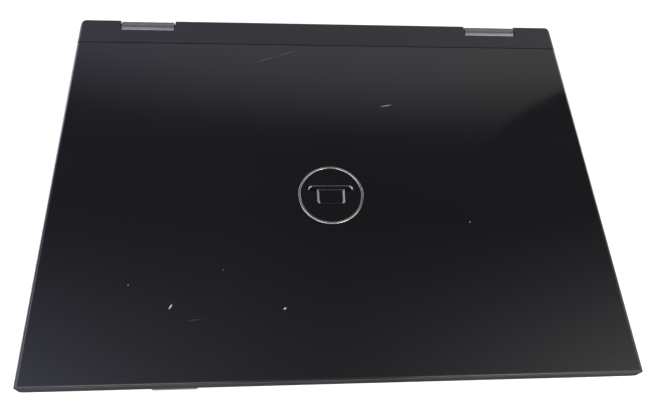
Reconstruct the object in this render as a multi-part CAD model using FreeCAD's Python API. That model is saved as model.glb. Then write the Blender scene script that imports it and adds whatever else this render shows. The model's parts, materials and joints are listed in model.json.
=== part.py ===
import FreeCAD, Part

import math
import os

# A 13.3-inch clamshell notebook computer, closed and standing on its feet, in millimetres.
# +X is the user's right, -Y the front edge, +Y the hinge edge and +Z up. The origin is on the
# surface that the feet stand on, under the middle of the lid. Each function below makes the
# nodes of one sub-assembly, and each node is written to parts/NAME.step.

# ---- driving dimensions: overall ----
HALF_W = 158.5             # half the lid's width
HALF_D = 119.0             # half the lid's depth
FOOT_T = 2.0               # rubber feet under the case
DECK_Z = 25.0              # top of the palm rest and keyboard deck
LID_GAP = 0.8              # air between deck and closed lid, held by the screen bumpers
LID_T = 8.0                # closed lid, bezel face to glossy top
LID_Z = DECK_Z + LID_GAP
LID_TOP = LID_Z + LID_T

# ---- driving dimensions: hinge ----
AXIS_Y = 114.2             # hinge axis
AXIS_Z = 29.0
BARREL_R = 4.7             # fixed barrel cover
ROLL_R = 4.8               # rounded lower back edge of the lid's hinge strip
TROUGH_R = 6.3             # hollow in the case that the back edge turns in
NOTCH_R = 5.75             # hollow front of the lid's notch
KNUCKLE_R = 3.6
SHAFT_R = 2.4
SHAFT_CLEAR = 0.06
BARREL_X = (98.0, 131.6)
BARREL_BACK_R = 2.9        # rounded upper back corner of the barrel cover
BARREL_WALL = 0.95
BARREL_FOOT = 3.5          # how far the cover's foot reaches in front of the axis
NOTCH_X = (97.2, 132.6)
NOTCH_Y = 110.2
STRIP_Y = 99.5             # seam between the glossy panel and the hinge strip
STRIP_EDGE_R = 1.6         # rounded upper back edge of the lid
HINGE_SCREW_XS = (104.0, 124.0)
HINGE_SCREW_Y = 108.6
HINGE_FOOT_Z = (16.0, 17.2)

# ---- driving dimensions: lid ----
LID_WALL = 1.6
LID_SPLIT_Z = 28.05        # seam between the back cover and the bezel, on the lid's sides
BEZEL_T = 1.5
SCREEN_HALF_W = 143.8      # bezel opening, 286 mm active width plus 0.8 mm each side
SCREEN_Y = (-102.2, 78.2)
PANEL_HALF_W = 149.5       # outline of the 13.3-inch display unit
PANEL_Y = (-109.5, 85.5)
PANEL_Z = (27.4, 31.9)
EMBLEM_Y = -13.3
EMBLEM_R = 18.9
EMBLEM_BAND = 1.35
EMBLEM_PROUD = 0.2
CAMERA_Y = -112.7
CAMERA_R = 2.1
BUMPER_R = 3.2
LID_SCREWS = [(153.2, -104.0), (153.2, -30.0), (60.0, 103.0)]

# ---- driving dimensions: case ----
CASE_HALF_W = 158.2
CASE_Y = (-118.4, 118.6)
CASE_WALL = 1.8
CASE_SPLIT_Z = 21.5        # seam between the bottom case and the palm rest
DECK_T = 1.8
SHELF_Z = AXIS_Z - TROUGH_R
CORNER_FRONT = 1.6
CORNER_REAR = 6.5
FLOOR_Z = FOOT_T + CASE_WALL
DOOR_TOP = FOOT_T + 1.5    # inner face of the access doors
MEMORY_DOOR = ((-79.0, -9.0), (-31.0, 51.0))
DISK_DOOR = ((-151.0, -87.0), (-73.0, 33.5))
DOOR_SCREWS = [(-30.0, 47.5), (-119.0, 30.2)]
CASE_SCREWS = [(-150, 39), (-88, 56), (-6, 57), (20, -50), (24, 20), (50, -71), (120, -71),
               (-66, -60), (112, 70), (150, 110), (-150, 68)]
SCREW_HEAD_R = 2.5
SCREW_HEAD_T = 0.9
FEET = [(-136.0, -69.0), (136.0, -69.0), (-110.0, 104.0), (110.0, 104.0)]
FOOT_R = 6.0

# ---- driving dimensions: keyboard ----
UNIT_X = 18.8              # one key's pitch across
ROW_D = 18.4               # a main row's pitch
FUNCTION_ROW_D = 12.4
KEY_GAP = 0.9
KEY_TAPER = 1.9            # how far each side leans in from skirt to top
KEY_SKIRT = 0.7
KEY_H = 2.6
KEY_TOP_Z = 24.9
KEYS_X0 = -141.0
KEYS_Y0 = -17.0
WELL_MARGIN = 0.8
BACKPLATE_Z = (19.5, 20.3)
ROWS = {                   # key widths in units, left to right, from the front row back
    "keys_bottom_row": [1.25, 1, 1, 1, None, 1, 0.75, 1, 1, 1, 1],
    "keys_lower_row": [2.25] + [1] * 10 + [1.75, 1],
    "keys_home_row": [1.75] + [1] * 11 + [2.25],
    "keys_upper_row": [1.5] + [1] * 12 + [1.5],
    "keys_number_row": [1] * 13 + [2],
    "keys_function_row": [1] + [0.9] * 12 + [0.8] * 4,
}
SPACE_UNITS = 5
PAD_X = (-52.0, 16.0)
PAD_Y = (-74.5, -34.0)
PAD_BUTTON_Y = (-87.5, -75.0)
STRIP_HALF_W = 141.8
POWER_STRIP_Y = (89.6, 107.0)
POWER_BUTTON_Y = 98.0
POWER_BUTTON_R = 5.4

# ---- driving dimensions: what is inside ----
DRIVE_X = (30.5, 156.1)    # slim optical drive
DRIVE_Y = (-66.0, 62.0)
DRIVE_Z = (5.0, 17.7)
DISC_R = 60.0
DISC_C = (95.8, -2.0)
EJECT_Y = 40.0
EJECT_Z = 11.5
DISK_X = (-154.0, -84.0)   # 2.5-inch hard disk
DISK_Y = (-74.0, 26.0)
DISK_Z = (4.6, 14.1)
BATTERY_HALF_W = 92.0
BATTERY_Y = (66.0, 118.4)
BATTERY_TOP = 19.2
BAY_CLEAR = 0.5
LATCH_XS = (-70.0, 70.0)
LATCH_Y = 57.0
LATCH_TRAVEL = 5.0
BOARD_Z = (8.0, 9.4)
FAN_X = (-141.0, -96.0)
FAN_Y = (66.0, 112.0)
FAN_Z = (5.0, 15.0)
FAN_C = (-117.0, 89.0)
BLADES = 19
SPEAKER_XS = (-36.0, 72.0)
CARD_X = -83.6             # memory card slot in the front edge
CARD_Z = 19.1
CARD_W = 23.6
CARD_T = 2.0
PORT_Z = 12.6              # middle height of the sockets in the sides
VIDEO_Y = 62.0
VIDEO_SCREW_SPACING = 25.0
VIDEO_SCREW_R = 1.4
NETWORK_Y = 36.5
USB_YS = (-89.5, -74.5, 77.0, 93.5)
AUDIO_YS = (-104.0, -91.0)
AUDIO_BORE_R = 1.8
AUDIO_BORE_L = 12.0
POWER_X = 143.0
RADIO_Y = -103.2

V = FreeCAD.Vector
X_AXIS = V(1, 0, 0)
Y_AXIS = V(0, 1, 0)
Z_AXIS = V(0, 0, 1)


# ---- drawing helpers ----
def block(x, y, z):
    """A box between two limits on each axis."""
    return Part.makeBox(x[1] - x[0], y[1] - y[0], z[1] - z[0], V(x[0], y[0], z[0]))


def around(centre, width, depth, z):
    """A box of a given width and depth around a point in plan."""
    x, y = centre
    return block((x - width / 2, x + width / 2), (y - depth / 2, y + depth / 2), z)


def rod(base, axis, radius, length):
    """A cylinder that grows from its base along an axis."""
    return Part.makeCylinder(radius, length, base, axis)


def post(x, y, z, radius):
    """An upright cylinder."""
    return rod(V(x, y, z[0]), Z_AXIS, radius, z[1] - z[0])


def tube(x, y, z, outer, inner):
    """An upright round tube."""
    return post(x, y, z, outer).cut(post(x, y, z, inner))


def hinge_rod(x, radius):
    """A cylinder on the hinge axis."""
    return rod(V(x[0], AXIS_Y, AXIS_Z), X_AXIS, radius, x[1] - x[0])


def slab(x, y, z, front, rear):
    """A plate with its upright corners rounded, by one radius in front and one behind."""
    plate = block(x, y, z)
    fronts, rears = [], []
    for edge in plate.Edges:
        if abs(edge.tangentAt(edge.FirstParameter).z) < 0.9:
            continue
        (fronts if edge.CenterOfMass.y < (y[0] + y[1]) / 2 else rears).append(edge)
    if front:
        plate = plate.makeFillet(front, fronts)
    if rear:
        middle = (y[0] + y[1]) / 2
        rears = [e for e in plate.Edges if is_upright(e) and e.CenterOfMass.y > middle]
        plate = plate.makeFillet(rear, rears)
    return plate


def is_upright(edge):
    """True for a straight edge that runs along Z."""
    return edge.Curve.TypeId == "Part::GeomLine" and abs(edge.Curve.Direction.z) > 0.9


def along_x(points, x):
    """A section given in (y, z), drawn out along X. A point of three numbers is an arc's
    middle: (y, z, 1) makes the arc from the point before it to the point after it."""
    wire = section(points, lambda p: V(x[0], p[0], p[1]))
    return Part.Face(wire).extrude(V(x[1] - x[0], 0, 0))


def along_y(points, y):
    """A section given in (x, z), drawn out along Y."""
    wire = section(points, lambda p: V(p[0], y[0], p[1]))
    return Part.Face(wire).extrude(V(0, y[1] - y[0], 0))


def section(points, place):
    """A closed wire of straight edges and arcs."""
    edges = []
    loop = points + [points[0]]
    at = 0
    while at < len(points):
        if len(loop[at + 1]) == 3:
            arc = Part.Arc(place(loop[at]), place(loop[at + 1]), place(loop[at + 2]))
            edges.append(arc.toShape())
            at += 2
        else:
            edges.append(Part.LineSegment(place(loop[at]), place(loop[at + 1])).toShape())
            at += 1
    return Part.Wire(edges)


def on_hinge_circle(radius, degrees):
    """A point (y, z) on a circle round the hinge axis, measured from straight back."""
    turn = math.radians(degrees)
    return AXIS_Y + radius * math.cos(turn), AXIS_Z + radius * math.sin(turn)


def mirrored(shape):
    """The shape's mirror image on the other side."""
    return shape.mirror(V(0, 0, 0), X_AXIS)


def both(shape):
    """A shape and its mirror image on the other side."""
    return [shape, mirrored(shape)]


def fuse(shapes):
    """One clean solid from overlapping or touching ones."""
    return shapes[0].fuse(shapes[1:]).removeSplitter()


def cut(shape, tools):
    """The shape with all the tools taken away."""
    return shape.cut(Part.makeCompound(tools))


def soften(shape, radius, chosen):
    """Rounds the edges that a test picks."""
    return shape.makeFillet(radius, [e for e in shape.Edges if chosen(e)])


def at_height(edge, z):
    """True for an edge that lies flat at a height."""
    box = edge.BoundBox
    return abs(box.ZMin - z) < 1e-4 and abs(box.ZMax - z) < 1e-4


def keep(name, *shapes):
    """Writes one node, made of one or more separate solids."""
    solids = [s for shape in shapes for s in shape.Solids]
    for solid in solids:
        if not solid.isValid() or solid.Volume <= 0:
            raise ValueError(f"{name} has a solid that isn't valid")
    whole = solids[0] if len(solids) == 1 else Part.makeCompound(solids)
    whole.exportStep(os.path.join("parts", f"{name}.step"))
    size = whole.BoundBox
    lengths = f"{size.XLength:7.1f}{size.YLength:7.1f}{size.ZLength:7.1f}"
    print(f"{name:28s}{len(solids):4d} solids {lengths}")


# ---- outer forms that several nodes share ----
def lid_plan(z, inset=0.0):
    """The lid's outline in plan, drawn up between two heights."""
    return slab((-HALF_W + inset, HALF_W - inset), (-HALF_D + inset, HALF_D - inset), z,
                max(CORNER_FRONT - inset, 0.3), CORNER_REAR - inset)


def case_body(inset=0.0):
    """The whole closed case: a side section and a front section, within a rounded plan."""
    wall = inset
    front, back = CASE_Y[0] + wall, CASE_Y[1] - wall
    floor = FOOT_T + wall
    lean = wall * 0.35     # an inset line that slopes moves sideways by this much more
    top = DECK_Z - inset
    side = [
        (front, top), (front, 22.6 - lean), (front + 5.2, 8.5 + lean),
        (front + 15.4, 4.2 + wall), (front + 42.4, floor),
        (back - 4.4 + lean, floor), (back, 6.4 + lean),
    ]
    if inset:
        side += [(back, CASE_SPLIT_Z), (108.6, CASE_SPLIT_Z), (108.6, top)]
    else:
        side += [(back, SHELF_Z), (AXIS_Y, SHELF_Z), (*on_hinge_circle(TROUGH_R, -115), 1),
                 (AXIS_Y - math.sqrt(TROUGH_R ** 2 - (AXIS_Z - DECK_Z) ** 2), DECK_Z)]
    half = CASE_HALF_W - inset
    across = [(-half, top), (-half, 4.6 + lean), (-half + 2.6 - lean, floor),
              (half - 2.6 + lean, floor), (half, 4.6 + lean), (half, top)]
    plan = slab((-half, half), (front, back), (0, 40), max(CORNER_FRONT - inset, 0.3),
                CORNER_REAR - inset)
    depth = (CASE_Y[0] - 1, CASE_Y[1] + 1)
    return along_x(side, (-half, half)).common(along_y(across, depth)).common(plan)


# ---- lid ----
def make_back_cover():
    """Glossy outer cover of the lid, hollow underneath, with bosses for the bezel's screws."""
    outer = lid_plan((LID_SPLIT_Z, LID_TOP))
    outer = outer.cut(block((-200, 200), (STRIP_Y - 0.1, 200), (0, 60)))
    outer = soften(outer, 1.1, lambda e: at_height(e, LID_TOP) and e.CenterOfMass.y < STRIP_Y - 1)
    room = lid_plan((LID_SPLIT_Z - 1, LID_TOP - LID_WALL), LID_WALL)
    pocket = post(0, EMBLEM_Y, (LID_TOP - 0.5, LID_TOP + 1), EMBLEM_R + 0.05)
    shell = cut(outer, [room, pocket])
    bosses = []
    for x, y in LID_SCREWS[:2]:
        bosses += both(post(x, y, (BEZEL_T + LID_Z + 0.15, LID_TOP - LID_WALL + 0.2), 2.5))
    shell = fuse([shell] + bosses)
    holes = []
    for x, y in LID_SCREWS[:2]:
        holes += both(post(x, y, (LID_Z, LID_TOP - LID_WALL), 1.0))
    keep("lid_back_cover", cut(shell, holes))


def make_hinge_strip():
    """Satin strip along the lid's back edge, notched round the two fixed barrels."""
    floor = LID_Z + BEZEL_T + 0.1
    roll_start = AXIS_Y - math.sqrt(ROLL_R ** 2 - (AXIS_Z - LID_Z) ** 2)
    edge_mid = STRIP_EDGE_R * (1 - math.sqrt(0.5))
    outside = [
        (STRIP_Y, LID_TOP), (HALF_D - STRIP_EDGE_R, LID_TOP),
        (HALF_D - edge_mid, LID_TOP - edge_mid, 1),
        (HALF_D, LID_TOP - STRIP_EDGE_R), (HALF_D, AXIS_Z), (*on_hinge_circle(ROLL_R, -45), 1),
        (AXIS_Y, AXIS_Z - ROLL_R), (*on_hinge_circle(ROLL_R, -110), 1),
        (roll_start, LID_Z), (108.6, LID_Z), (108.6, floor), (STRIP_Y, floor),
    ]
    inside = [
        (STRIP_Y - 1, LID_TOP - LID_WALL), (115.8, LID_TOP - LID_WALL), (117.4, 30.6),
        (117.4, 27.6), (115.6, 25.8), (112.6, 25.8), (110.4, floor), (108.6, floor),
        (108.6, floor - 1), (STRIP_Y - 1, floor - 1),
    ]
    solid = along_x(outside, (-HALF_W, HALF_W)).common(lid_plan((0, 60)))
    room = along_x(inside, (-HALF_W, HALF_W)).common(lid_plan((0, 60), LID_WALL))
    boss = [post(x, LID_SCREWS[2][1], (floor, LID_TOP - LID_WALL + 0.2), 2.5)
            for x in (-LID_SCREWS[2][0], LID_SCREWS[2][0])]
    shell = fuse([solid.cut(room)] + boss)
    liner = block((NOTCH_X[0] - LID_WALL, NOTCH_X[1] + LID_WALL), (107.2, HALF_D), (0, 60))
    liners = [solid.common(part) for part in both(liner)]
    shell = fuse([shell] + liners)
    notch = [block(NOTCH_X, (NOTCH_Y, 130), (0, 60)), hinge_rod(NOTCH_X, NOTCH_R)]
    tools = [t for part in notch for t in both(part)]
    tools += both(hinge_rod((NOTCH_X[1] - 1, NOTCH_X[1] + LID_WALL + 1), SHAFT_R + 0.3))
    tools.append(hinge_rod((-NOTCH_X[0] - 1, -NOTCH_X[0] + LID_WALL + 1), 2.2))
    tools += [post(x, LID_SCREWS[2][1], (LID_Z, LID_TOP - LID_WALL), 1.0)
              for x in (-LID_SCREWS[2][0], LID_SCREWS[2][0])]
    keep("lid_hinge_strip", cut(shell, tools))


def make_bezel():
    """Inner frame round the screen, with a bevelled opening, camera hole and screw seats."""
    rear = 108.4
    plate = lid_plan((LID_Z, LID_SPLIT_Z - 0.05)).cut(block((-200, 200), (rear, 200), (0, 60)))
    room = lid_plan((LID_Z + BEZEL_T, 60), 1.5)
    bevel = 1.3
    low = rectangle(SCREEN_HALF_W + bevel, SCREEN_Y[0] - bevel, SCREEN_Y[1] + bevel, LID_Z - 0.01)
    high = rectangle(SCREEN_HALF_W, SCREEN_Y[0], SCREEN_Y[1], LID_Z + BEZEL_T + 0.01)
    window = Part.makeLoft([low, high], True)
    under_strip = block((-200, 200), (STRIP_Y - 0.1, 200), (LID_Z + BEZEL_T, 60))
    tools = [room, window, under_strip, post(0, CAMERA_Y, (LID_Z - 1, LID_Z + 3), CAMERA_R + 0.1)]
    tools += [post(x, CAMERA_Y, (LID_Z - 1, LID_Z + 3), 0.5) for x in (-22, 22)]
    for x, y in LID_SCREWS:
        tools += both(post(x, y, (LID_Z - 1, LID_Z + 3), 1.15))
        tools += both(post(x, y, (LID_Z - 1, LID_Z + 0.7), 2.3))
    keep("screen_bezel", cut(plate, tools))


def rectangle(half_x, y0, y1, z):
    """A flat closed rectangle for a loft."""
    corners = [V(-half_x, y0, z), V(half_x, y0, z), V(half_x, y1, z), V(-half_x, y1, z)]
    return Part.makePolygon(corners + corners[:1])


def make_display():
    """Display unit behind the bezel: glass cell, metal-framed backlight and lamp inverter."""
    glass_x = (-PANEL_HALF_W + 3, PANEL_HALF_W - 3)
    glass_y = (PANEL_Y[0] + 4.5, PANEL_Y[1] - 4.5)
    glass_z = (PANEL_Z[0], PANEL_Z[0] + 1.5)
    keep("screen_glass", block(glass_x, glass_y, glass_z))
    frame = block((-PANEL_HALF_W, PANEL_HALF_W), PANEL_Y, PANEL_Z)
    pocket = block((glass_x[0] - 0.3, glass_x[1] + 0.3), (glass_y[0] - 0.3, glass_y[1] + 0.3),
                   (0, glass_z[1] + 0.05))
    keep("screen_backlight", frame.cut(pocket))
    board = block((-52, 52), (89.0, 97.5), (28.2, 29.2))
    parts = [around((x, 93.2), 14, 6, (29.2, 31.6)) for x in (-30, 0, 30)]
    keep("screen_inverter", fuse([board] + parts))


def make_camera():
    """Camera and microphone board above the screen, with its lens in the bezel's hole."""
    floor = LID_Z + BEZEL_T + 0.1
    board = block((-32, 32), (-116.6, -110.0), (floor, floor + 1))
    barrel = post(0, CAMERA_Y, (LID_Z + 0.35, floor + 3), CAMERA_R)
    keep("camera_module", fuse([board, barrel]))


def make_lid_hardware():
    """Emblem, rubber bumpers, aerials, screws and display cable that ride in the lid."""
    seat = LID_TOP - 0.5
    ring = tube(0, EMBLEM_Y, (seat, LID_TOP + EMBLEM_PROUD), EMBLEM_R, EMBLEM_R - EMBLEM_BAND)
    keep("emblem_ring", soften(ring, 0.15, lambda e: at_height(e, LID_TOP + EMBLEM_PROUD)))
    keep("emblem_disc", post(0, EMBLEM_Y, (seat, LID_TOP - 0.05), EMBLEM_R - EMBLEM_BAND))
    bumpers, screws = [], []
    for x, y in LID_SCREWS:
        bumper = post(x, y, (DECK_Z + 0.1, LID_Z), BUMPER_R)
        bumpers += both(soften(bumper, 0.3, lambda e: at_height(e, DECK_Z + 0.1)))
        head = post(x, y, (LID_Z + 0.1, LID_Z + 0.7), 2.1)
        screws += both(fuse([head, post(x, y, (LID_Z + 0.6, LID_TOP - LID_WALL - 0.6), 0.98)]))
    keep("screen_bumpers", *bumpers)
    keep("bezel_screws", *screws)
    aerial = block((62, 112), (-116.6, -110.4), (29.0, 29.8))
    keep("wireless_aerials", *both(aerial))
    level = (28.3, 29.7)
    run = [block((-93.5, -74), (112.4, 115.4), level), block((-77, -74), (86.0, 112.6), level)]
    keep("display_cable", fuse(run))


def make_lid_hinge_arms():
    """Steel arm beside the display, with the shaft that turns in the case's knuckle."""
    top = LID_TOP - LID_WALL - 0.1
    shaft = hinge_rod((112.0, 142.0), SHAFT_R)
    block_up = block((137.2, 142.0), (111.8, 115.6), (AXIS_Z - 1, top))
    across = block((137.2, 155.8), (106.0, 113.0), (top - 1.2, top))
    arm = block((150.4, 155.8), (12.0, 110.0), (top - 1.2, top))
    whole = fuse([shaft, block_up, across, arm])
    keep("lid_hinge_arms", *both(whole))


# ---- case shells ----
def seat_cuts():
    """Flat seats and slots in the trough's shelf for the two barrels and their brackets."""
    x = (BARREL_X[0] - 0.2, BARREL_X[1] + 0.2)
    seat = block(x, (AXIS_Y - TROUGH_R, CASE_Y[1] + 1), (SHELF_Z, 40))
    slot = block((99.4, 131.0), (111.9, 116.6), (0, 40))
    return both(seat) + both(slot)


def make_palm_rest():
    """Top cover: palm rest, deck round the keyboard, and the trough that the lid turns in."""
    shell = case_body().cut(case_body(CASE_WALL))
    shell = shell.cut(block((-200, 200), (-200, 200), (-10, CASE_SPLIT_Z)))
    well_x = (KEYS_X0 - WELL_MARGIN, -KEYS_X0 + WELL_MARGIN)
    well_y = (KEYS_Y0 - WELL_MARGIN, KEYS_Y0 + 5 * ROW_D + FUNCTION_ROW_D + WELL_MARGIN)
    skirt_z = (BACKPLATE_Z[1] + 0.05, DECK_Z - 0.5)
    skirt = block((well_x[0] - 1.2, well_x[1] + 1.2), (well_y[0] - 1.2, well_y[1] + 1.2), skirt_z)
    pad_skirt = block((PAD_X[0] - 1.2, PAD_X[1] + 1.2), (PAD_BUTTON_Y[0] - 1.2, PAD_Y[1] + 1.2),
                      (21.9, DECK_Z - 0.5))
    ledges = [block((-STRIP_HALF_W - 1, STRIP_HALF_W + 1), y, (22.4, DECK_Z - DECK_T))
              for y in ((well_y[1] + 0.5, POWER_STRIP_Y[0] + 1.4),
                        (POWER_STRIP_Y[1] - 1.4, POWER_STRIP_Y[1] + 1.0))]
    deck_back = block((-STRIP_HALF_W - 1, STRIP_HALF_W + 1), (POWER_STRIP_Y[1], 108.7),
                      (22.4, DECK_Z - 0.5))
    bosses = [b for x in HINGE_SCREW_XS
              for b in both(post(x, HINGE_SCREW_Y, (HINGE_FOOT_Z[1] + 0.05, 22.5), 2.4))]
    shell = fuse([shell, skirt, pad_skirt, deck_back] + bosses)
    pad_recess = slab((PAD_X[0] - 0.2, PAD_X[1] + 0.2), (PAD_BUTTON_Y[0] - 0.2, PAD_Y[1] + 0.2),
                      (22.4, 40), 2.2, 2.2)
    tools = [block(well_x, well_y, (0, 40)), pad_recess,
             block((-STRIP_HALF_W, STRIP_HALF_W), POWER_STRIP_Y, (0, 40))]
    tools += [b for x in HINGE_SCREW_XS for b in both(post(x, HINGE_SCREW_Y, (15, 21.5), 1.0))]
    shell = fuse([cut(shell, tools + seat_cuts())] + ledges)
    shell = soften(shell, 0.5, lambda e: at_height(e, DECK_Z) and is_rim(e))
    keep("palm_rest", shell)


def is_rim(edge):
    """True for an edge on the case's outer outline, in front of the trough."""
    box = edge.BoundBox
    on_side = box.XMin > CASE_HALF_W - 3 or box.XMax < -CASE_HALF_W + 3
    return box.YMax < CASE_Y[0] + 3 or (on_side and box.YMax < 110)


def wall_slots(x, y, z, pitch):
    """Upright air slots through a side wall."""
    count = int((y[1] - y[0]) / pitch)
    return [block(x, (y[0] + n * pitch, y[0] + n * pitch + pitch * 0.55), z)
            for n in range(count)]


def port_cuts():
    """Holes in the bottom case for the sockets, the vents and the security slot."""
    left = (-CASE_HALF_W - 1, -CASE_HALF_W + CASE_WALL + 1)
    right = (CASE_HALF_W - CASE_WALL - 1, CASE_HALF_W + 1)
    back = (CASE_Y[1] - CASE_WALL - 1, CASE_Y[1] + 1)
    cuts = wall_slots(left, (82.5, 111.0), (6.5, 16.5), 3.2)
    board = BOARD_Z[1]
    cuts.append(block(left, (VIDEO_Y - 15.6, VIDEO_Y + 15.6), (PORT_Z - 5.1, PORT_Z + 5.1)))
    cuts.append(block(left, (NETWORK_Y - 8.1, NETWORK_Y + 8.1), (board - 0.2, board + 9.0)))
    for y in USB_YS:
        cuts.append(block(right, (y - 7.2, y + 7.2), (PORT_Z - 3.4, PORT_Z + 3.4)))
    for y in AUDIO_YS:
        cuts.append(rod(V(-CASE_HALF_W - 1, y, PORT_Z), X_AXIS, 3.3, CASE_WALL + 2))
    cuts.append(rod(V(POWER_X, back[0], PORT_Z), Y_AXIS, 5.1, CASE_WALL + 2))
    cuts.append(block((-148.5, -141.5), back, (PORT_Z - 1.5, PORT_Z + 1.5)))
    cuts.append(block(right, (RADIO_Y - 4.3, RADIO_Y + 4.3), (PORT_Z - 1.6, PORT_Z + 1.6)))
    tray_y = (DRIVE_Y[0] - 0.1, DRIVE_Y[1] + 0.1)
    cuts.append(block(right, tray_y, (DRIVE_Z[0] - 0.05, DRIVE_Z[1] + 0.1)))
    card_x = (CARD_X - CARD_W / 2 - 0.2, CARD_X + CARD_W / 2 + 0.2)
    cuts.append(block(card_x, (-130, -110), (CARD_Z - 1.2, CARD_Z + 1.2)))
    return cuts


def make_bottom_case():
    """Bottom shell with its sockets' holes, battery bay, access openings and screw posts."""
    shell = case_body().cut(case_body(CASE_WALL))
    shell = shell.cut(block((-200, 200), (-200, 200), (CASE_SPLIT_Z - 0.1, 60)))
    bay = BATTERY_HALF_W + BAY_CLEAR
    bay_front = BATTERY_Y[0] - BAY_CLEAR
    bay_top = BATTERY_TOP + 0.2
    bay_wall = block((-bay - 1.2, bay + 1.2), (bay_front - 1.2, CASE_Y[1] - 0.5),
                     (FLOOR_Z - 0.5, bay_top))
    posts = [post(x, y, (FLOOR_Z - 0.5, screw_post_top(x, y)), 3.0) for x, y in CASE_SCREWS]
    shell = fuse([shell, bay_wall.common(case_body(0.01))] + posts)
    tools = port_cuts()
    tools.append(block((-bay, bay), (bay_front, 130), (-5, bay_top)))
    for x, y in (MEMORY_DOOR, DISK_DOOR):
        tools.append(slab((x[0] - 0.2, x[1] + 0.2), (y[0] - 0.2, y[1] + 0.2), (0, FLOOR_Z + 0.1),
                          1.5, 1.5))
    for x, y in CASE_SCREWS:
        tools.append(post(x, y, (0, FOOT_T + 1.3), 2.8))
        tools.append(post(x, y, (FOOT_T + 1.2, screw_post_top(x, y) - 0.4), 1.15))
    for x in LATCH_XS:
        tools.append(block((x - 4.9, x + 4.9 + LATCH_TRAVEL), (LATCH_Y - 3.3, LATCH_Y + 3.3),
                           (0, FLOOR_Z + 0.1)))
    for n in range(8):
        tools.append(around((-136 + n * 4.8, 92), 2.2, 30, (0, FLOOR_Z + 1)))
    for x in SPEAKER_XS:
        for n in range(5):
            tools.append(block((x - 14, x + 14), (-101 + n * 3.4, -99.5 + n * 3.4), (0, 8)))
    anchors = []
    for (x, y), (_, door_y) in zip(DOOR_SCREWS, (MEMORY_DOOR, DISK_DOOR)):
        across = (x - 4.5, x + 4.5)
        shelf = block(across, (y - 3, door_y[1] + 2.6), (DOOR_TOP + 0.05, 7.8))
        foot = block(across, (door_y[1] + 0.3, door_y[1] + 2.6), (FLOOR_Z - 0.4, 7.8))
        anchors.append(shelf.fuse(foot).cut(post(x, y, (0, 7.4), 1.15)))
    keep("bottom_case", fuse([cut(shell, tools)] + anchors))


def screw_post_top(x, y):
    """Height of a screw post: low under the optical drive, up to the boards elsewhere."""
    under_drive = x > DRIVE_X[0] - 4 and y < DRIVE_Y[1] + 3
    return 4.9 if under_drive else 7.8


def make_underside():
    """Access doors, rubber feet and case screws under the computer."""
    doors = []
    for (x, y), (screw_x, screw_y) in zip((MEMORY_DOOR, DISK_DOOR), DOOR_SCREWS):
        plate = slab(x, y, (FOOT_T, DOOR_TOP), 1.3, 1.3)
        rib_y = (y[0] + 3, screw_y - 4.5)
        rib = block((x[0] + 3, x[1] - 3), rib_y, (DOOR_TOP - 0.1, DOOR_TOP + 0.7))
        hollow = block((x[0] + 4, x[1] - 4), (rib_y[0] + 1, rib_y[1] - 1), (DOOR_TOP - 0.1, 10))
        slots = [around(((x[0] + x[1]) / 2, y[0] + 14 + 5.0 * n), 34, 2.0, (0, 10))
                 for n in range(5)]
        holes = [post(screw_x, screw_y, (0, FOOT_T + 0.7), 2.8), post(screw_x, screw_y, (0, 10), 1.2)]
        doors.append(cut(fuse([plate, rib]), [hollow] + slots + holes))
    keep("access_doors", *doors)
    feet = [soften(post(x, y, (0, FOOT_T), FOOT_R), 0.5, lambda e: at_height(e, 0))
            for x, y in FEET]
    keep("rubber_feet", *feet)
    screws = [screw(x, y, FOOT_T + 0.35, screw_post_top(x, y) - 0.5) for x, y in CASE_SCREWS]
    screws += [screw(x, y, FOOT_T - 0.2, 7.2) for x, y in DOOR_SCREWS]
    for x in HINGE_SCREW_XS:
        screws += both(screw(x, HINGE_SCREW_Y, HINGE_FOOT_Z[0] - 0.9, 21.0, 0.98))
    keep("case_screws", *screws)


def screw(x, y, low, high, shank_r=1.13):
    """A cross-head screw driven upwards, from the bottom of its head to its tip."""
    head = post(x, y, (low, low + SCREW_HEAD_T), SCREW_HEAD_R)
    shank = post(x, y, (low + SCREW_HEAD_T - 0.1, high), shank_r)
    cross = [around((x, y), wide, deep, (low, low + 0.5)) for wide, deep in ((2.6, 0.7), (0.7, 2.6))]
    return cut(fuse([head, shank]), cross)


# ---- hinge parts on the case ----
def make_hinges():
    """Barrel covers and steel knuckle brackets that stay with the case."""
    wall = BARREL_WALL
    x = BARREL_X
    front, back = AXIS_Y - BARREL_FOOT, AXIS_Y + BARREL_R
    crown = block(x, (AXIS_Y, back), (AXIS_Z, AXIS_Z + BARREL_R))
    crown = soften(crown, BARREL_BACK_R, lambda e: e.CenterOfMass.y > back - 0.01
                   and e.CenterOfMass.z > AXIS_Z + BARREL_R - 0.01)
    foot = block(x, (front, back), (SHELF_Z + 0.05, AXIS_Z))
    outside = fuse([hinge_rod(x, BARREL_R), crown, foot])
    inner_x = (x[0] + wall, x[1] - wall)
    room = [hinge_rod(inner_x, BARREL_R - wall),
            block(inner_x, (front + wall, back - wall), (0, AXIS_Z)),
            hinge_rod((x[1] - 2, x[1] + 1), SHAFT_R + 0.25),
            hinge_rod((x[0] - 1, x[0] + 2), 1.9)]
    keep("hinge_covers", *both(cut(outside, room)))
    knuckle = hinge_rod((100.0, 130.4), KNUCKLE_R)
    web = block((100.0, 130.4), (112.4, 116.0), (HINGE_FOOT_Z[0], AXIS_Z - 1))
    foot = block((98.0, 130.4), (103.0, 116.0), HINGE_FOOT_Z)
    bracket = fuse([knuckle, web, foot])
    holes = [hinge_rod((90, 140), SHAFT_R + SHAFT_CLEAR)]
    holes += [post(screw_x, HINGE_SCREW_Y, (10, 20), 1.3) for screw_x in HINGE_SCREW_XS]
    keep("hinge_brackets", *both(cut(bracket, holes)))


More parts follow.
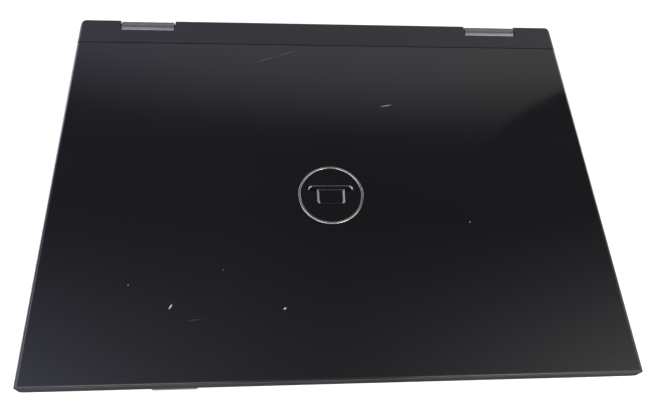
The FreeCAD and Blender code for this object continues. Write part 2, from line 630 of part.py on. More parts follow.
# ---- keyboard, pointing pad and power strip ----
def keycap(x, y, width, depth):
    """One keycap, given its near left corner and its pitch."""
    z = KEY_TOP_Z - KEY_H
    low = cap_outline(x, y, width, depth, 0.0)
    skirt = block((low[0], low[1]), (low[2], low[3]), (z, z + KEY_SKIRT))
    top = cap_outline(x, y, width, depth, KEY_TAPER)
    wires = [cap_wire(low, z + KEY_SKIRT), cap_wire(top, KEY_TOP_Z)]
    return skirt.fuse(Part.makeLoft(wires, True)).removeSplitter()


def cap_outline(x, y, width, depth, inset):
    """Limits of a keycap in plan: its pitch less half the gap and an inset all round."""
    half = KEY_GAP / 2 + inset
    return x + half, x + width - half, y + half, y + depth - half


def cap_wire(limits, z):
    """A keycap's outline at one height, for a loft."""
    x0, x1, y0, y1 = limits
    corners = [V(x0, y0, z), V(x1, y0, z), V(x1, y1, z), V(x0, y1, z)]
    return Part.makePolygon(corners + corners[:1])


def make_keyboard():
    """Steel backplate, rubber domes and one node of keycaps for each row."""
    top_y = KEYS_Y0 + 5 * ROW_D + FUNCTION_ROW_D
    plate = block((KEYS_X0 - 2.0, -KEYS_X0 + 2.0), (KEYS_Y0 - 2.0, top_y + 2.0), BACKPLATE_Z)
    keep("keyboard_backplate", plate)
    domes = []
    y = KEYS_Y0
    for name, widths in ROWS.items():
        depth = FUNCTION_ROW_D if name == "keys_function_row" else ROW_D
        x = KEYS_X0
        caps = []
        for units in widths:
            width = (units or SPACE_UNITS) * UNIT_X
            cap = keycap(x, y, width, depth)
            if units:
                caps.append(cap)
            else:
                keep("space_bar", cap)
            dome = Part.makeCone(2.9, 1.6, 1.9, V(x + width / 2, y + depth / 2, BACKPLATE_Z[1]))
            domes.append(dome)
            x += width
        keep(name, *caps)
        y += depth
    keep("key_domes", *domes)


def make_pointing_pad():
    """Touch pad and its two buttons, flush in the palm rest."""
    pad = slab(PAD_X, PAD_Y, (22.4, DECK_Z - 0.3), 0, 2.0)
    keep("touch_pad", pad)
    middle = (PAD_X[0] + PAD_X[1]) / 2
    sides = {"left": (PAD_X[0], middle - 0.15), "right": (middle + 0.15, PAD_X[1])}
    for side, x in sides.items():
        button = block(x, PAD_BUTTON_Y, (23.4, DECK_Z - 0.1))
        outer = x[0] if side == "left" else x[1]
        button = soften(button, 2.0, lambda e: is_upright(e) and abs(e.CenterOfMass.x - outer) < 0.1
                        and e.CenterOfMass.y < PAD_BUTTON_Y[0] + 1)
        button = soften(button, 0.3, lambda e: at_height(e, DECK_Z - 0.1))
        keep(f"pad_button_{side}", button)


def make_power_strip():
    """Trim strip behind the keyboard with the power button in it."""
    y = (POWER_STRIP_Y[0] + 0.12, POWER_STRIP_Y[1] - 0.12)
    x = (-STRIP_HALF_W + 0.12, STRIP_HALF_W - 0.12)
    strip = block(x, y, (DECK_Z - DECK_T, DECK_Z))
    strip = soften(strip, 0.3, lambda e: at_height(e, DECK_Z))
    hole = post(0, POWER_BUTTON_Y, (0, 40), POWER_BUTTON_R + 0.15)
    keep("power_strip", strip.cut(hole))
    button = post(0, POWER_BUTTON_Y, (22.6, DECK_Z + 0.1), POWER_BUTTON_R)
    keep("power_button", soften(button, 0.3, lambda e: at_height(e, DECK_Z + 0.1)))


# ---- electronics ----
def make_boards():
    """Main board and side board, with the chips and sockets soldered to them."""
    main = fuse([block((-80, 28), (-58, 62), BOARD_Z), block((-155.4, -78), (28.5, 62), BOARD_Z),
                 block((-155.4, -143), (60, 77), BOARD_Z)])
    chips = [around(c, s, s, (BOARD_Z[1], BOARD_Z[1] + 1.6))
             for c, s in (((-20, 20), 24), ((-30, -38), 18), ((6, -30), 12), ((-100, 48), 14))]
    memory_sockets = [block((-78, -10), y, (5.0, BOARD_Z[0])) for y in ((10, 14), (-26, -22))]
    cpu_socket = around((-55, 28), 38, 38, (BOARD_Z[1], BOARD_Z[1] + 1.0))
    main = fuse([main] + chips + memory_sockets + [cpu_socket])
    usb_board = block((100, 156), (68, 104), BOARD_Z)
    radio_board = block((118, 154.8), (-104.5, -67), BOARD_Z)
    audio_board = block((-154.8, -134), (-104.5, -80), BOARD_Z)
    keep("circuit_boards", main, usb_board, radio_board, audio_board)
    keep("processor", around((-55, 28), 34, 34, (BOARD_Z[1] + 1.0, BOARD_Z[1] + 2.4)))
    modules = []
    for y in ((14.1, 43.9), (-21.9, 7.9)):
        card = block((-77.8, -10.2), y, (5.9, 6.9))
        chips = [block((-73 + n * 16, -62 + n * 16), (y[0] + 6, y[1] - 8), (4.8, 5.95))
                 for n in range(4)]
        modules.append(fuse([card] + chips))
    keep("memory_modules", *modules)
    card = block((-12, 18), (-16, -2), (12.2, 13.2))
    chip = block((-8, 14), (-13, -5), (13.2, 14.6))
    leg = block((-12, 18), (-2, 1), (BOARD_Z[1], 13.6))
    keep("wireless_card", fuse([card, chip, leg]))
    keep("clock_battery", post(12, 44, (BOARD_Z[1], BOARD_Z[1] + 3.2), 10.0))


def make_cooling():
    """Blower housing, its impeller, and the heat pipe from the processor to the fins."""
    outer = block(FAN_X, FAN_Y, FAN_Z)
    inside_z = (FAN_Z[0] + 1, FAN_Z[1] - 1)
    room = [post(FAN_C[0], FAN_C[1], inside_z, 21.0),
            block((FAN_X[0] - 1, FAN_C[0]), (FAN_C[1] - 6, FAN_C[1] + 21), inside_z),
            post(FAN_C[0], FAN_C[1], (0, 30), 13.0)]
    spider = [block((FAN_C[0] - 14, FAN_C[0] + 14), (FAN_C[1] - 1.5, FAN_C[1] + 1.5),
                    (FAN_Z[1] - 1, FAN_Z[1])),
              post(FAN_C[0], FAN_C[1], (FAN_Z[1] - 1, FAN_Z[1]), 7.0)]
    keep("fan_housing", fuse([cut(outer, room)] + spider))
    hub = post(FAN_C[0], FAN_C[1], (FAN_Z[0] + 1.4, FAN_Z[1] - 1.4), 9.0)
    blades = []
    for n in range(BLADES):
        blade = block((8.5, 19.5), (-0.4, 0.4), (FAN_Z[0] + 1.6, FAN_Z[1] - 1.8))
        blade.rotate(V(8.5, 0, 0), Z_AXIS, 25)
        blade.rotate(V(0, 0, 0), Z_AXIS, 360.0 / BLADES * n)
        blade.translate(V(FAN_C[0], FAN_C[1], 0))
        blades.append(blade)
    keep("fan_impeller", fuse([hub] + blades))
    plate_z = BOARD_Z[1] + 2.4
    plate = around((-55, 28), 44, 44, (plate_z, plate_z + 2.0))
    riser = around((-55, 40), 14, 14, (plate_z + 1.9, 17.6))
    knee = (-106.0, 54.0)
    pipe = [flat_bar((-55, 40), knee, 8, (15.3, 17.6)), post(*knee, (15.3, 17.6), 4.0),
            flat_bar(knee, (-149, 95), 8, (15.3, 17.6))]
    fin_x = (-155.9, -142.2)
    fins = [block(fin_x, (82.6 + n * 1.9, 83.1 + n * 1.9), (5.2, 14.4)) for n in range(16)]
    fin_cap = block(fin_x, (82.6, 112.0), (14.3, 15.4))
    keep("heat_sink", fuse([plate, riser, fin_cap] + pipe + fins))


def flat_bar(start, end, width, z):
    """A flat bar between two points in plan."""
    run = V(end[0] - start[0], end[1] - start[1], 0)
    bar = block((0, run.Length), (-width / 2, width / 2), z)
    bar.rotate(V(0, 0, 0), Z_AXIS, math.degrees(math.atan2(run.y, run.x)))
    bar.translate(V(start[0], start[1], 0))
    return bar


def make_drives():
    """Hard disk, and the optical drive with its rails, tray, spindle and eject button."""
    disk = slab(DISK_X, DISK_Y, DISK_Z, 1.5, 1.5)
    recess = slab((DISK_X[0] + 5, DISK_X[1] - 5), (DISK_Y[0] + 5, DISK_Y[1] - 18), (13.7, 20), 3, 3)
    keep("hard_disk", disk.cut(recess))
    body = block(DRIVE_X, DRIVE_Y, (DRIVE_Z[0] + 0.1, DRIVE_Z[1] - 0.1))
    room = block((DRIVE_X[0] + 2, 200), (DRIVE_Y[0] + 1.2, DRIVE_Y[1] - 1.2),
                 (DRIVE_Z[0] + 1.0, DRIVE_Z[1] - 0.9))
    rail_z = (9.2, 12.0)
    rails = [block((36, 152), (DRIVE_Y[0] + 1.1, DRIVE_Y[0] + 2.9), rail_z),
             block((36, 152), (DRIVE_Y[1] - 2.9, DRIVE_Y[1] - 1.1), rail_z)]
    keep("optical_drive_case", fuse([body.cut(room)] + rails))
    bezel_x = (156.3, CASE_HALF_W)
    tray_y = (DRIVE_Y[0] + 3.2, DRIVE_Y[1] - 3.2)
    plate = block((36, bezel_x[0] + 0.5), tray_y, (7.4, 13.2))
    face_z = (DRIVE_Z[0] + 0.15, DRIVE_Z[1] - 0.1)
    face = block(bezel_x, (DRIVE_Y[0] + 0.15, DRIVE_Y[1] - 0.15), face_z)
    face = soften(face, 0.4, lambda e: e.BoundBox.XMin > bezel_x[1] - 1e-4)
    tray = fuse([plate, face])
    tools = [post(DISC_C[0], DISC_C[1], (11.6, 30), DISC_R),
             post(DISC_C[0], DISC_C[1], (8.0, 30), 14.5),
             block((DISC_C[0], DISC_C[0] + 44), (DISC_C[1] - 7, DISC_C[1] + 7), (8.0, 30)),
             block((155.6, 170), (EJECT_Y - 5.1, EJECT_Y + 5.1), (EJECT_Z - 1.3, EJECT_Z + 1.3)),
             rod(V(150, EJECT_Y - 16, EJECT_Z), X_AXIS, 0.6, 20)]
    keep("optical_tray", cut(tray, tools))
    keep("disc_spindle", fuse([post(*DISC_C, (8.2, 11.5), 13.0), post(*DISC_C, (11.4, 13.1), 7.4)]))
    button = block((bezel_x[0] + 0.6, CASE_HALF_W + 0.25), (EJECT_Y - 5, EJECT_Y + 5),
                   (EJECT_Z - 1.2, EJECT_Z + 1.2))
    keep("eject_button", soften(button, 0.25, lambda e: e.BoundBox.XMin > CASE_HALF_W))


def make_battery():
    """Battery pack in the back of the case, and its two slides underneath."""
    x = (-BATTERY_HALF_W, BATTERY_HALF_W)
    front, back = BATTERY_Y
    side = [(front, FOOT_T), (back - 4.4, FOOT_T), (back, 6.4), (back, BATTERY_TOP),
            (front, BATTERY_TOP)]
    pack = along_x(side, x)
    contacts = [block((n * 3.2 - 12.0, n * 3.2 - 10.6), (front - 1, front + 4), (9.0, 15.0))
                for n in range(8)]
    pack = cut(pack, contacts)
    pack = soften(pack, 0.6, lambda e: e.BoundBox.XLength > 100 and e.CenterOfMass.y > back - 6)
    keep("battery_pack", pack)
    names = ("battery_lock", "battery_latch")
    for name, at in zip(names, LATCH_XS):
        plate = block((at - 10.8, at + 10.8), (LATCH_Y - 4.8, LATCH_Y + 4.8),
                      (FLOOR_Z + 0.05, FLOOR_Z + 0.9))
        knob = block((at - 4.6, at + 4.6), (LATCH_Y - 3.0, LATCH_Y + 3.0),
                     (FOOT_T + 0.3, FLOOR_Z + 0.2))
        grooves = [block((at - 3.2 + n * 1.6, at - 2.4 + n * 1.6), (LATCH_Y - 3.2, LATCH_Y + 3.2),
                         (0, FOOT_T + 0.7)) for n in range(4)]
        keep(name, cut(fuse([plate, knob]), grooves))


def make_sockets():
    """Sockets in the sides and back, each with its shell and contact tongue."""
    side = CASE_HALF_W - 0.15
    usb = []
    for y in USB_YS:
        shell = block((side - 14, side), (y - 7.0, y + 7.0), (PORT_Z - 3.2, PORT_Z + 3.2))
        room = block((side - 13, side + 1), (y - 6.5, y + 6.5), (PORT_Z - 2.7, PORT_Z + 2.7))
        tongue = block((side - 13.5, side - 1.5), (y - 5.6, y + 5.6), (PORT_Z + 0.3, PORT_Z + 2.1))
        usb.append(fuse([shell.cut(room), tongue]))
    keep("usb_sockets", *usb)
    y = NETWORK_Y
    shell = block((-side, -side + 15), (y - 7.9, y + 7.9), (BOARD_Z[1], BOARD_Z[1] + 8.8))
    board = BOARD_Z[1]
    room = block((-side - 1, -side + 13.5), (y - 6.0, y + 6.0), (board + 0.7, board + 7.3))
    notch = block((-side - 1, -side + 10), (y - 3.2, y + 3.2), (board + 7.2, board + 8.2))
    keep("network_socket", cut(shell, [room, notch]))
    y = VIDEO_Y
    flange = block((-side, -side + 2), (y - 15.4, y + 15.4), (PORT_Z - 5.0, PORT_Z + 5.0))
    body = block((-side + 1.9, -side + 12), (y - 9.5, y + 9.5), (BOARD_Z[1], PORT_Z + 4.8))
    shroud = along_x([(y - 8.2, PORT_Z + 3.9), (y + 8.2, PORT_Z + 3.9), (y + 7.0, PORT_Z - 3.9),
                      (y - 7.0, PORT_Z - 3.9)], (-side - 0.1, -side + 2.5))
    pins = [rod(V(-side - 1, y + (column - 2) * 2.6 + (0.65 if row == 1 else -0.65),
                  PORT_Z + (row - 1) * 2.1), X_AXIS, 0.5, 5)
            for row in range(3) for column in range(5)]
    jack_ys = [y + hand * VIDEO_SCREW_SPACING / 2 for hand in (-1, 1)]
    jack_holes = [rod(V(-side - 1, jack_y, PORT_Z), X_AXIS, VIDEO_SCREW_R, 9) for jack_y in jack_ys]
    jack_nuts = [rod(V(-side + 1.9, jack_y, PORT_Z), X_AXIS, 2.6, 5) for jack_y in jack_ys]
    keep("video_socket", cut(fuse([flange, body, shroud] + jack_nuts), pins + jack_holes))
    jacks = []
    for y in AUDIO_YS:
        core = block((-side + 1.8, -side + 14), (y - 3.6, y + 3.6), (BOARD_Z[1], PORT_Z + 3.4))
        collar = rod(V(-side, y, PORT_Z), X_AXIS, 3.2, 3)
        bore = rod(V(-side - 1, y, PORT_Z), X_AXIS, AUDIO_BORE_R, AUDIO_BORE_L + 1)
        jacks.append(fuse([core, collar]).cut(bore))
    keep("audio_sockets", *jacks)
    back = CASE_Y[1] - 0.15
    barrel = rod(V(POWER_X, back, PORT_Z), -Y_AXIS, 5.0, 12.0)
    mouth = rod(V(POWER_X, back + 1, PORT_Z), -Y_AXIS, 3.9, 12.0)
    pin = rod(V(POWER_X, back - 1.5, PORT_Z), -Y_AXIS, 0.8, 10.4)
    base = block((POWER_X - 5, POWER_X + 5), (back - 17, back - 11.5), (BOARD_Z[1], PORT_Z + 5))
    keep("power_inlet", fuse([barrel.cut(mouth), pin, base]))


def make_card_slot():
    """Memory card reader in the front edge, with the plastic blank that fills it."""
    x = (CARD_X - CARD_W / 2, CARD_X + CARD_W / 2)
    shell = block((x[0] - 1.6, x[1] + 1.6), (-114.6, -86.0), (CARD_Z - 1.9, CARD_Z + 1.9))
    room = block((x[0] - 0.2, x[1] + 0.2), (-120, -87.2), (CARD_Z - 1.15, CARD_Z + 1.15))
    keep("card_reader", shell.cut(room))
    blank = block(x, (-118.2, -88.0), (CARD_Z - CARD_T / 2, CARD_Z + CARD_T / 2))
    blank = soften(blank, 1.2, lambda e: is_upright(e) and e.CenterOfMass.y < -110)
    grip = [around((CARD_X, -116.9 + n * 0.9), 12, 0.4, (CARD_Z + CARD_T / 2 - 0.3, 30))
            for n in range(2)]
    keep("card_blank", cut(blank, grip))


def make_small_parts():
    """Speakers and the radio switch's slider."""
    speakers = []
    for x in SPEAKER_XS:
        box = block((x - 17, x + 17), (-106, -84), (8.6, 15.0))
        cone = post(x, -94, (0, 9.6), 8.0)
        dome = post(x, -94, (9.0, 9.7), 3.5)
        speakers.append(fuse([box.cut(cone), dome]))
    keep("speakers", *speakers)
    side = CASE_HALF_W
    knob = block((side - 1.6, side + 0.1), (RADIO_Y - 4.1, RADIO_Y - 0.3), (PORT_Z - 1.4, PORT_Z + 1.4))
    plate = block((side - 3.2, side - CASE_WALL - 0.1), (RADIO_Y - 6.0, RADIO_Y + 1.6),
                  (PORT_Z - 2.6, PORT_Z + 2.6))
    link = block((side - 2.5, side - 1.4), (RADIO_Y - 3.8, RADIO_Y - 0.6), (PORT_Z - 1.2, PORT_Z + 1.2))
    keep("radio_switch", fuse([knob, plate, link]))


def main():
    """Makes every node, sub-assembly by sub-assembly."""
    os.makedirs("parts", exist_ok=True)
    make_back_cover()
    make_hinge_strip()
    make_bezel()
    make_display()
    make_camera()
    make_lid_hardware()
    make_lid_hinge_arms()
    make_palm_rest()
    make_bottom_case()
    make_underside()
    make_hinges()
    make_keyboard()
    make_pointing_pad()
    make_power_strip()
    make_boards()
    make_cooling()
    make_drives()
    make_battery()
    make_sockets()
    make_card_slot()
    make_small_parts()


main()
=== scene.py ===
"""Finished looks of a closed, glossy black laptop computer, built round its CAD frame.

Lengths are in millimetres unless a comment says otherwise; MM turns them into metres. Each
sub-assembly is a class that shapes its own pieces, gives them their finishes and hangs them on
the CAD bodies that carry them.
"""

import json
import logging
import math
from contextlib import contextmanager
from dataclasses import dataclass
from enum import Enum
from typing import Callable, Iterator, Sequence

import bmesh
import bpy
from mathutils import Matrix, Vector


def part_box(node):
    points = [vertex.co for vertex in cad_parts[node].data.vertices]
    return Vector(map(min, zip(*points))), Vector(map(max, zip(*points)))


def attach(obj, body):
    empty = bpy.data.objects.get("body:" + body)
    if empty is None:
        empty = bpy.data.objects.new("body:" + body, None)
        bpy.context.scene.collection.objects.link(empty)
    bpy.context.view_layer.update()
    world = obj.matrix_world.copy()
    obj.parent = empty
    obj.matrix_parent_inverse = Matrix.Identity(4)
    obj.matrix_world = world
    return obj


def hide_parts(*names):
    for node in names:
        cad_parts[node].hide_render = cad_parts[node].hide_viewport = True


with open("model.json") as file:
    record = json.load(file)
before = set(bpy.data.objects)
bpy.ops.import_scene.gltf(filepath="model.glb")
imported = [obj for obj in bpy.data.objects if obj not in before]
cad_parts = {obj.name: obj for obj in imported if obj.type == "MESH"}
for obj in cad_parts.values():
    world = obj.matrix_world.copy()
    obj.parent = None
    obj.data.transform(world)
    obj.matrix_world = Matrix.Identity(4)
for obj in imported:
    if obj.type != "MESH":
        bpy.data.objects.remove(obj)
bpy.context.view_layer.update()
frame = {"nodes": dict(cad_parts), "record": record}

MM = 0.001
LOG = logging.getLogger("laptop")

# shapes of the values that pass between functions; Feeds maps shader inputs to their sources
Triple = tuple[float, float, float]
Span = tuple[float, float]
Colour = tuple[float, float, float, float]
EdgeTest = Callable[[Vector, Vector], bool]
FaceTest = Callable[[Vector, Vector], bool]
Tree, Node, Socket = bpy.types.NodeTree, bpy.types.Node, bpy.types.NodeSocket
Feeds = dict[str, Node | Socket]


class Axis(Enum):
    """The way a rod lies, with the turn that lays an upright cylinder that way."""

    X = (0.0, math.pi / 2, 0.0)
    Y = (-math.pi / 2, 0.0, 0.0)
    Z = (0.0, 0.0, 0.0)


# ---- places read from the frame ----
class Space:
    """The room that a CAD node, or one solid of it, takes up."""

    def __init__(self, low: Vector, high: Vector) -> None:
        """Keeps the two corners, given in metres.

        Args:
            low: lowest corner.
            high: highest corner.
        """
        self.low = Vector(low) / MM
        self.high = Vector(high) / MM

    @classmethod
    def of(cls, node: str) -> "Space":
        """Returns the room of one whole CAD node."""
        return cls(*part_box(node))

    @property
    def x(self) -> Span:
        """Left and right limits."""
        return self.low.x, self.high.x

    @property
    def y(self) -> Span:
        """Front and back limits."""
        return self.low.y, self.high.y

    @property
    def z(self) -> Span:
        """Bottom and top limits."""
        return self.low.z, self.high.z

    @property
    def spans(self) -> tuple[Span, Span, Span]:
        """Limits along each axis."""
        return self.x, self.y, self.z

    @property
    def middle(self) -> Vector:
        """Centre of the room."""
        return (self.low + self.high) / 2

    @property
    def size(self) -> Vector:
        """Width, depth and height."""
        return self.high - self.low


def solids(node: str) -> list[Space]:
    """Finds the room of each separate solid in a CAD node.

    Args:
        node: name of the CAD node.

    Returns:
        One Space for each solid, ordered from the left, then from the front.
    """
    mesh = frame["nodes"][node].data
    root: dict[tuple, tuple] = {}

    def home(key: tuple) -> tuple:
        """Returns the mark of the solid that a corner belongs to."""
        while root[key] != key:
            root[key] = root[root[key]]
            key = root[key]
        return key

    keys = [tuple(round(c, 6) for c in v.co) for v in mesh.vertices]
    for key in keys:
        root.setdefault(key, key)
    for face in mesh.polygons:
        first = home(keys[face.vertices[0]])
        for corner in face.vertices[1:]:
            root[home(keys[corner])] = first
    groups: dict[tuple, list[tuple]] = {}
    for key in root:
        groups.setdefault(home(key), []).append(key)
    found = [Space(Vector(map(min, zip(*g))), Vector(map(max, zip(*g)))) for g in groups.values()]
    return sorted(found, key=lambda s: (round(s.low.x, 1), round(s.low.y, 1)))


def frame_body(node: str) -> str:
    """Returns the CAD body that a node belongs to."""
    bodies = frame["record"]["behaviour"]["bodies"]
    return next(body for body, nodes in bodies.items() if node in nodes)


# ---- the workbench ----
def select_only(obj: bpy.types.Object) -> None:
    """Leaves one object selected and active."""
    bpy.ops.object.select_all(action="DESELECT")
    obj.select_set(True)
    bpy.context.view_layer.objects.active = obj


class Piece:
    """One workpiece, shaped with the modelling operators and then finished."""

    def __init__(self, obj: bpy.types.Object, name: str) -> None:
        """Names the new object and applies its place, so that its origin is the frame's.

        Args:
            obj: the object that holds the work.
            name: the piece's name.
        """
        self.obj = obj
        obj.name = name
        obj.data.name = name
        select_only(obj)
        bpy.ops.object.transform_apply(location=True, rotation=True, scale=True)

    # -- starting shapes --
    @classmethod
    def block(cls, name: str, x: Span, y: Span, z: Span) -> "Piece":
        """Starts from a block between three pairs of limits."""
        bpy.ops.object.select_all(action="DESELECT")
        middle = [(a + b) / 2 * MM for a, b in (x, y, z)]
        size = [(b - a) * MM for a, b in (x, y, z)]
        bpy.ops.mesh.primitive_cube_add(size=1, location=middle, scale=size)
        return cls(bpy.context.object, name)

    @classmethod
    def rod(cls, name: str, base: Sequence[float], length: float, radius: float,
            axis: Axis = Axis.Z, sides: int = 48, tip: float | None = None) -> "Piece":
        """Starts from a round rod, or a tapered one.

        Args:
            name: the piece's name.
            base: centre of the end that the rod grows from.
            length: how far it grows along its axis.
            radius: radius at the base.
            axis: the way it lies.
            sides: flats round it.
            tip: radius at the far end, where that differs.

        Returns:
            The new piece.
        """
        bpy.ops.object.select_all(action="DESELECT")
        along = Vector([axis is Axis.X, axis is Axis.Y, axis is Axis.Z])
        middle = (Vector(base) + along * length / 2) * MM
        bpy.ops.mesh.primitive_cone_add(
            vertices=sides, radius1=radius * MM, radius2=(radius if tip is None else tip) * MM,
            depth=length * MM, location=middle, rotation=axis.value)
        return cls(bpy.context.object, name)

    @classmethod
    def post(cls, name: str, room: Space, sides: int = 48) -> "Piece":
        """Starts from an upright round rod that fills a room."""
        return cls.rod(name, (*room.middle.xy, room.low.z), room.size.z, room.size.x / 2,
                       sides=sides)

    @classmethod
    def ring(cls, name: str, foot: Sequence[float], outer: float, inner: float, height: float,
             sides: int = 128) -> "Piece":
        """Starts from an upright ring: a circle drawn up, in, down and closed.

        Args:
            name: the piece's name.
            foot: centre of the ring's foot.
            outer: outer radius.
            inner: inner radius.
            height: height above the foot.
            sides: flats round it.

        Returns:
            The new piece.
        """
        bpy.ops.object.select_all(action="DESELECT")
        centre = Vector(foot) * MM
        bpy.ops.mesh.primitive_circle_add(vertices=sides, radius=outer * MM, location=centre)
        made = cls(bpy.context.object, name)
        up = {"value": (0, 0, height * MM)}
        down = {"value": (0, 0, -height * MM)}
        share = inner / outer
        with made.editing():
            bpy.ops.mesh.select_all(action="SELECT")
            bpy.ops.mesh.extrude_edges_move(TRANSFORM_OT_translate=up)
            bpy.ops.mesh.extrude_edges_move()
            bpy.ops.transform.resize(value=(share, share, 1), center_override=centre)
            bpy.ops.mesh.extrude_edges_move(TRANSFORM_OT_translate=down)
            bpy.ops.mesh.select_all(action="DESELECT")
            bpy.ops.mesh.select_mode(type="EDGE")
            bpy.ops.mesh.select_non_manifold()
            bpy.ops.mesh.bridge_edge_loops()
            bpy.ops.mesh.select_all(action="SELECT")
            bpy.ops.mesh.normals_make_consistent(inside=False)
        return made

    @classmethod
    def lettering(cls, name: str, words: str, height: float, place: Sequence[float],
                  thickness: float = 0.1) -> "Piece":
        """Starts from words, made a thin solid with its face at the given height."""
        bpy.ops.object.select_all(action="DESELECT")
        bpy.ops.object.text_add(location=(Vector(place) - Vector((0, 0, thickness / 2))) * MM)
        text = bpy.context.object
        text.data.body = words
        text.data.size = height * MM
        text.data.extrude = thickness / 2 * MM
        text.data.resolution_u = 3
        bpy.ops.object.convert(target="MESH")
        return cls(bpy.context.object, name).settle()

    @classmethod
    def cast(cls, name: str, node: str) -> "Piece":
        """Starts from a merged copy of a CAD node whose form is already right."""
        source = frame["nodes"][node]
        obj = bpy.data.objects.new(name, source.data.copy())
        bpy.context.scene.collection.objects.link(obj)
        made = cls(obj, name).settle()
        bpy.ops.mesh.customdata_custom_splitnormals_clear()
        return made

    @classmethod
    def moulding(cls, name: str, node: str, finish: "Finish", edge: float = 0.0) -> "Piece":
        """Finishes a CAD node whose form is right, on the body that the node is on.

        Args:
            name: the piece's name.
            node: the CAD node that it stands for.
            finish: its main finish.
            edge: width of the bevel on its sharp edges, if they get one.

        Returns:
            The finished piece.
        """
        piece = cls.cast(name, node)
        if edge:
            piece.soften(edge)
        return piece.dress(finish, frame_body(node), [node])

    @staticmethod
    def together(pieces: Sequence["Piece"], name: str | None = None) -> "Piece":
        """Joins pieces as the loose shells of one, under the first one's name or a new one."""
        whole = pieces[0].join(pieces[1:])
        whole.obj.name = name or whole.obj.name
        return whole

    def twin(self, name: str, move: Sequence[float] = (0, 0, 0), mirror: bool = False) -> "Piece":
        """Copies the work, with its own mesh.

        Args:
            name: the copy's name.
            move: how far away the copy stands.
            mirror: true for the opposite hand, across the middle of the computer.

        Returns:
            The copy.
        """
        obj = self.obj.copy()
        obj.data = self.obj.data.copy()
        bpy.context.scene.collection.objects.link(obj)
        obj.data.transform(Matrix.Translation(Vector(move) * MM))
        if mirror:
            obj.data.transform(Matrix.Scale(-1, 4, (1, 0, 0)))
            obj.data.flip_normals()
        return Piece(obj, name)

    # -- edit-mode tools --
    @contextmanager
    def editing(self) -> Iterator[None]:
        """Opens the piece in edit mode."""
        select_only(self.obj)
        bpy.ops.object.mode_set(mode="EDIT")
        yield
        bpy.ops.object.mode_set(mode="OBJECT")

    def _pick(self, kind: str, test: Callable) -> None:
        """Selects the edges or faces that a test picks, and nothing else."""
        bpy.ops.mesh.select_mode(type=kind)
        bpy.ops.mesh.select_all(action="DESELECT")
        mesh = bmesh.from_edit_mesh(self.obj.data)
        if kind == "EDGE":
            for edge in mesh.edges:
                edge.select_set(test(*(v.co / MM for v in edge.verts)))
        else:
            for face in mesh.faces:
                face.select_set(test(face.calc_center_median() / MM, face.normal))
        mesh.select_flush_mode()
        bmesh.update_edit_mesh(self.obj.data)

    def bevel(self, test: EdgeTest, width: float, segments: int = 3) -> "Piece":
        """Rounds the edges that a test of their two ends picks."""
        with self.editing():
            self._pick("EDGE", test)
            bpy.ops.mesh.bevel(offset=width * MM, segments=segments, affect="EDGES",
                               clamp_overlap=True)
        return self

    def weigh(self, test: EdgeTest, share: float) -> "Piece":
        """Gives edges their share of a later bevel's width."""
        with self.editing():
            self._pick("EDGE", test)
            bpy.ops.transform.edge_bevelweight(value=share)
        return self

    def inset(self, test: FaceTest, width: float, depth: float = 0.0) -> "Piece":
        """Draws a smaller face inside each picked region, sunk by depth if that is negative."""
        with self.editing():
            self._pick("FACE", test)
            bpy.ops.mesh.inset(thickness=width * MM, depth=depth * MM)
        return self

    def extrude(self, test: FaceTest, move: Sequence[float]) -> "Piece":
        """Draws the picked faces out, or in, by a move."""
        with self.editing():
            self._pick("FACE", test)
            bpy.ops.mesh.extrude_region_move(
                TRANSFORM_OT_translate={"value": Vector(move) * MM})
        return self

    def spread(self, test: FaceTest, factors: Triple, about: Sequence[float]) -> "Piece":
        """Scales the picked faces about a point."""
        with self.editing():
            self._pick("FACE", test)
            bpy.ops.transform.resize(value=factors, center_override=Vector(about) * MM)
        return self

    def settle(self) -> "Piece":
        """Merges doubled corners, and faces that lie in one plane."""
        with self.editing():
            bpy.ops.mesh.select_all(action="SELECT")
            bpy.ops.mesh.remove_doubles(threshold=0.001 * MM)
            bpy.ops.mesh.dissolve_limited(angle_limit=math.radians(0.6))
        return self

    # -- modifiers and joins --
    def modify(self, kind: str, **settings: object) -> "Piece":
        """Adds a modifier with its settings and applies it."""
        select_only(self.obj)
        modifier = self.obj.modifiers.new(kind.lower(), kind)
        for name, value in settings.items():
            setattr(modifier, name, value)
        bpy.ops.object.modifier_apply(modifier=modifier.name)
        return self

    def soften(self, width: float, segments: int = 2, angle: float = 35.0) -> "Piece":
        """Breaks every sharp edge by a small bevel."""
        return self.modify("BEVEL", width=width * MM, segments=segments, limit_method="ANGLE",
                           angle_limit=math.radians(angle), use_clamp_overlap=True)

    def join(self, others: Sequence["Piece"]) -> "Piece":
        """Takes other pieces into this one as loose shells."""
        if others:
            bpy.ops.object.select_all(action="DESELECT")
            for other in others:
                other.obj.select_set(True)
            self.obj.select_set(True)
            bpy.context.view_layer.objects.active = self.obj
            bpy.ops.object.join()
        return self

    def _combine(self, operation: str, tools: Sequence["Piece"]) -> "Piece":
        """Runs one boolean with each tool in turn and removes the tools."""
        for tool in tools:
            self.modify("BOOLEAN", operation=operation, solver="EXACT", object=tool.obj)
            bpy.data.objects.remove(tool.obj)
        return self

    def cut(self, *tools: "Piece") -> "Piece":
        """Takes the tools' shapes away."""
        return self._combine("DIFFERENCE", tools)

    def weld(self, *others: "Piece") -> "Piece":
        """Makes this piece and the others one solid."""
        return self._combine("UNION", others)

    # -- finishing --
    def paint(self, finish: "Finish", test: FaceTest) -> "Piece":
        """Gives the picked faces a finish of their own, on top of the piece's main one."""
        self.obj.data.materials.append(finish.material())
        index = len(self.obj.data.materials) - 1
        for face in self.obj.data.polygons:
            if test(face.center / MM, face.normal):
                face.material_index = index
        return self

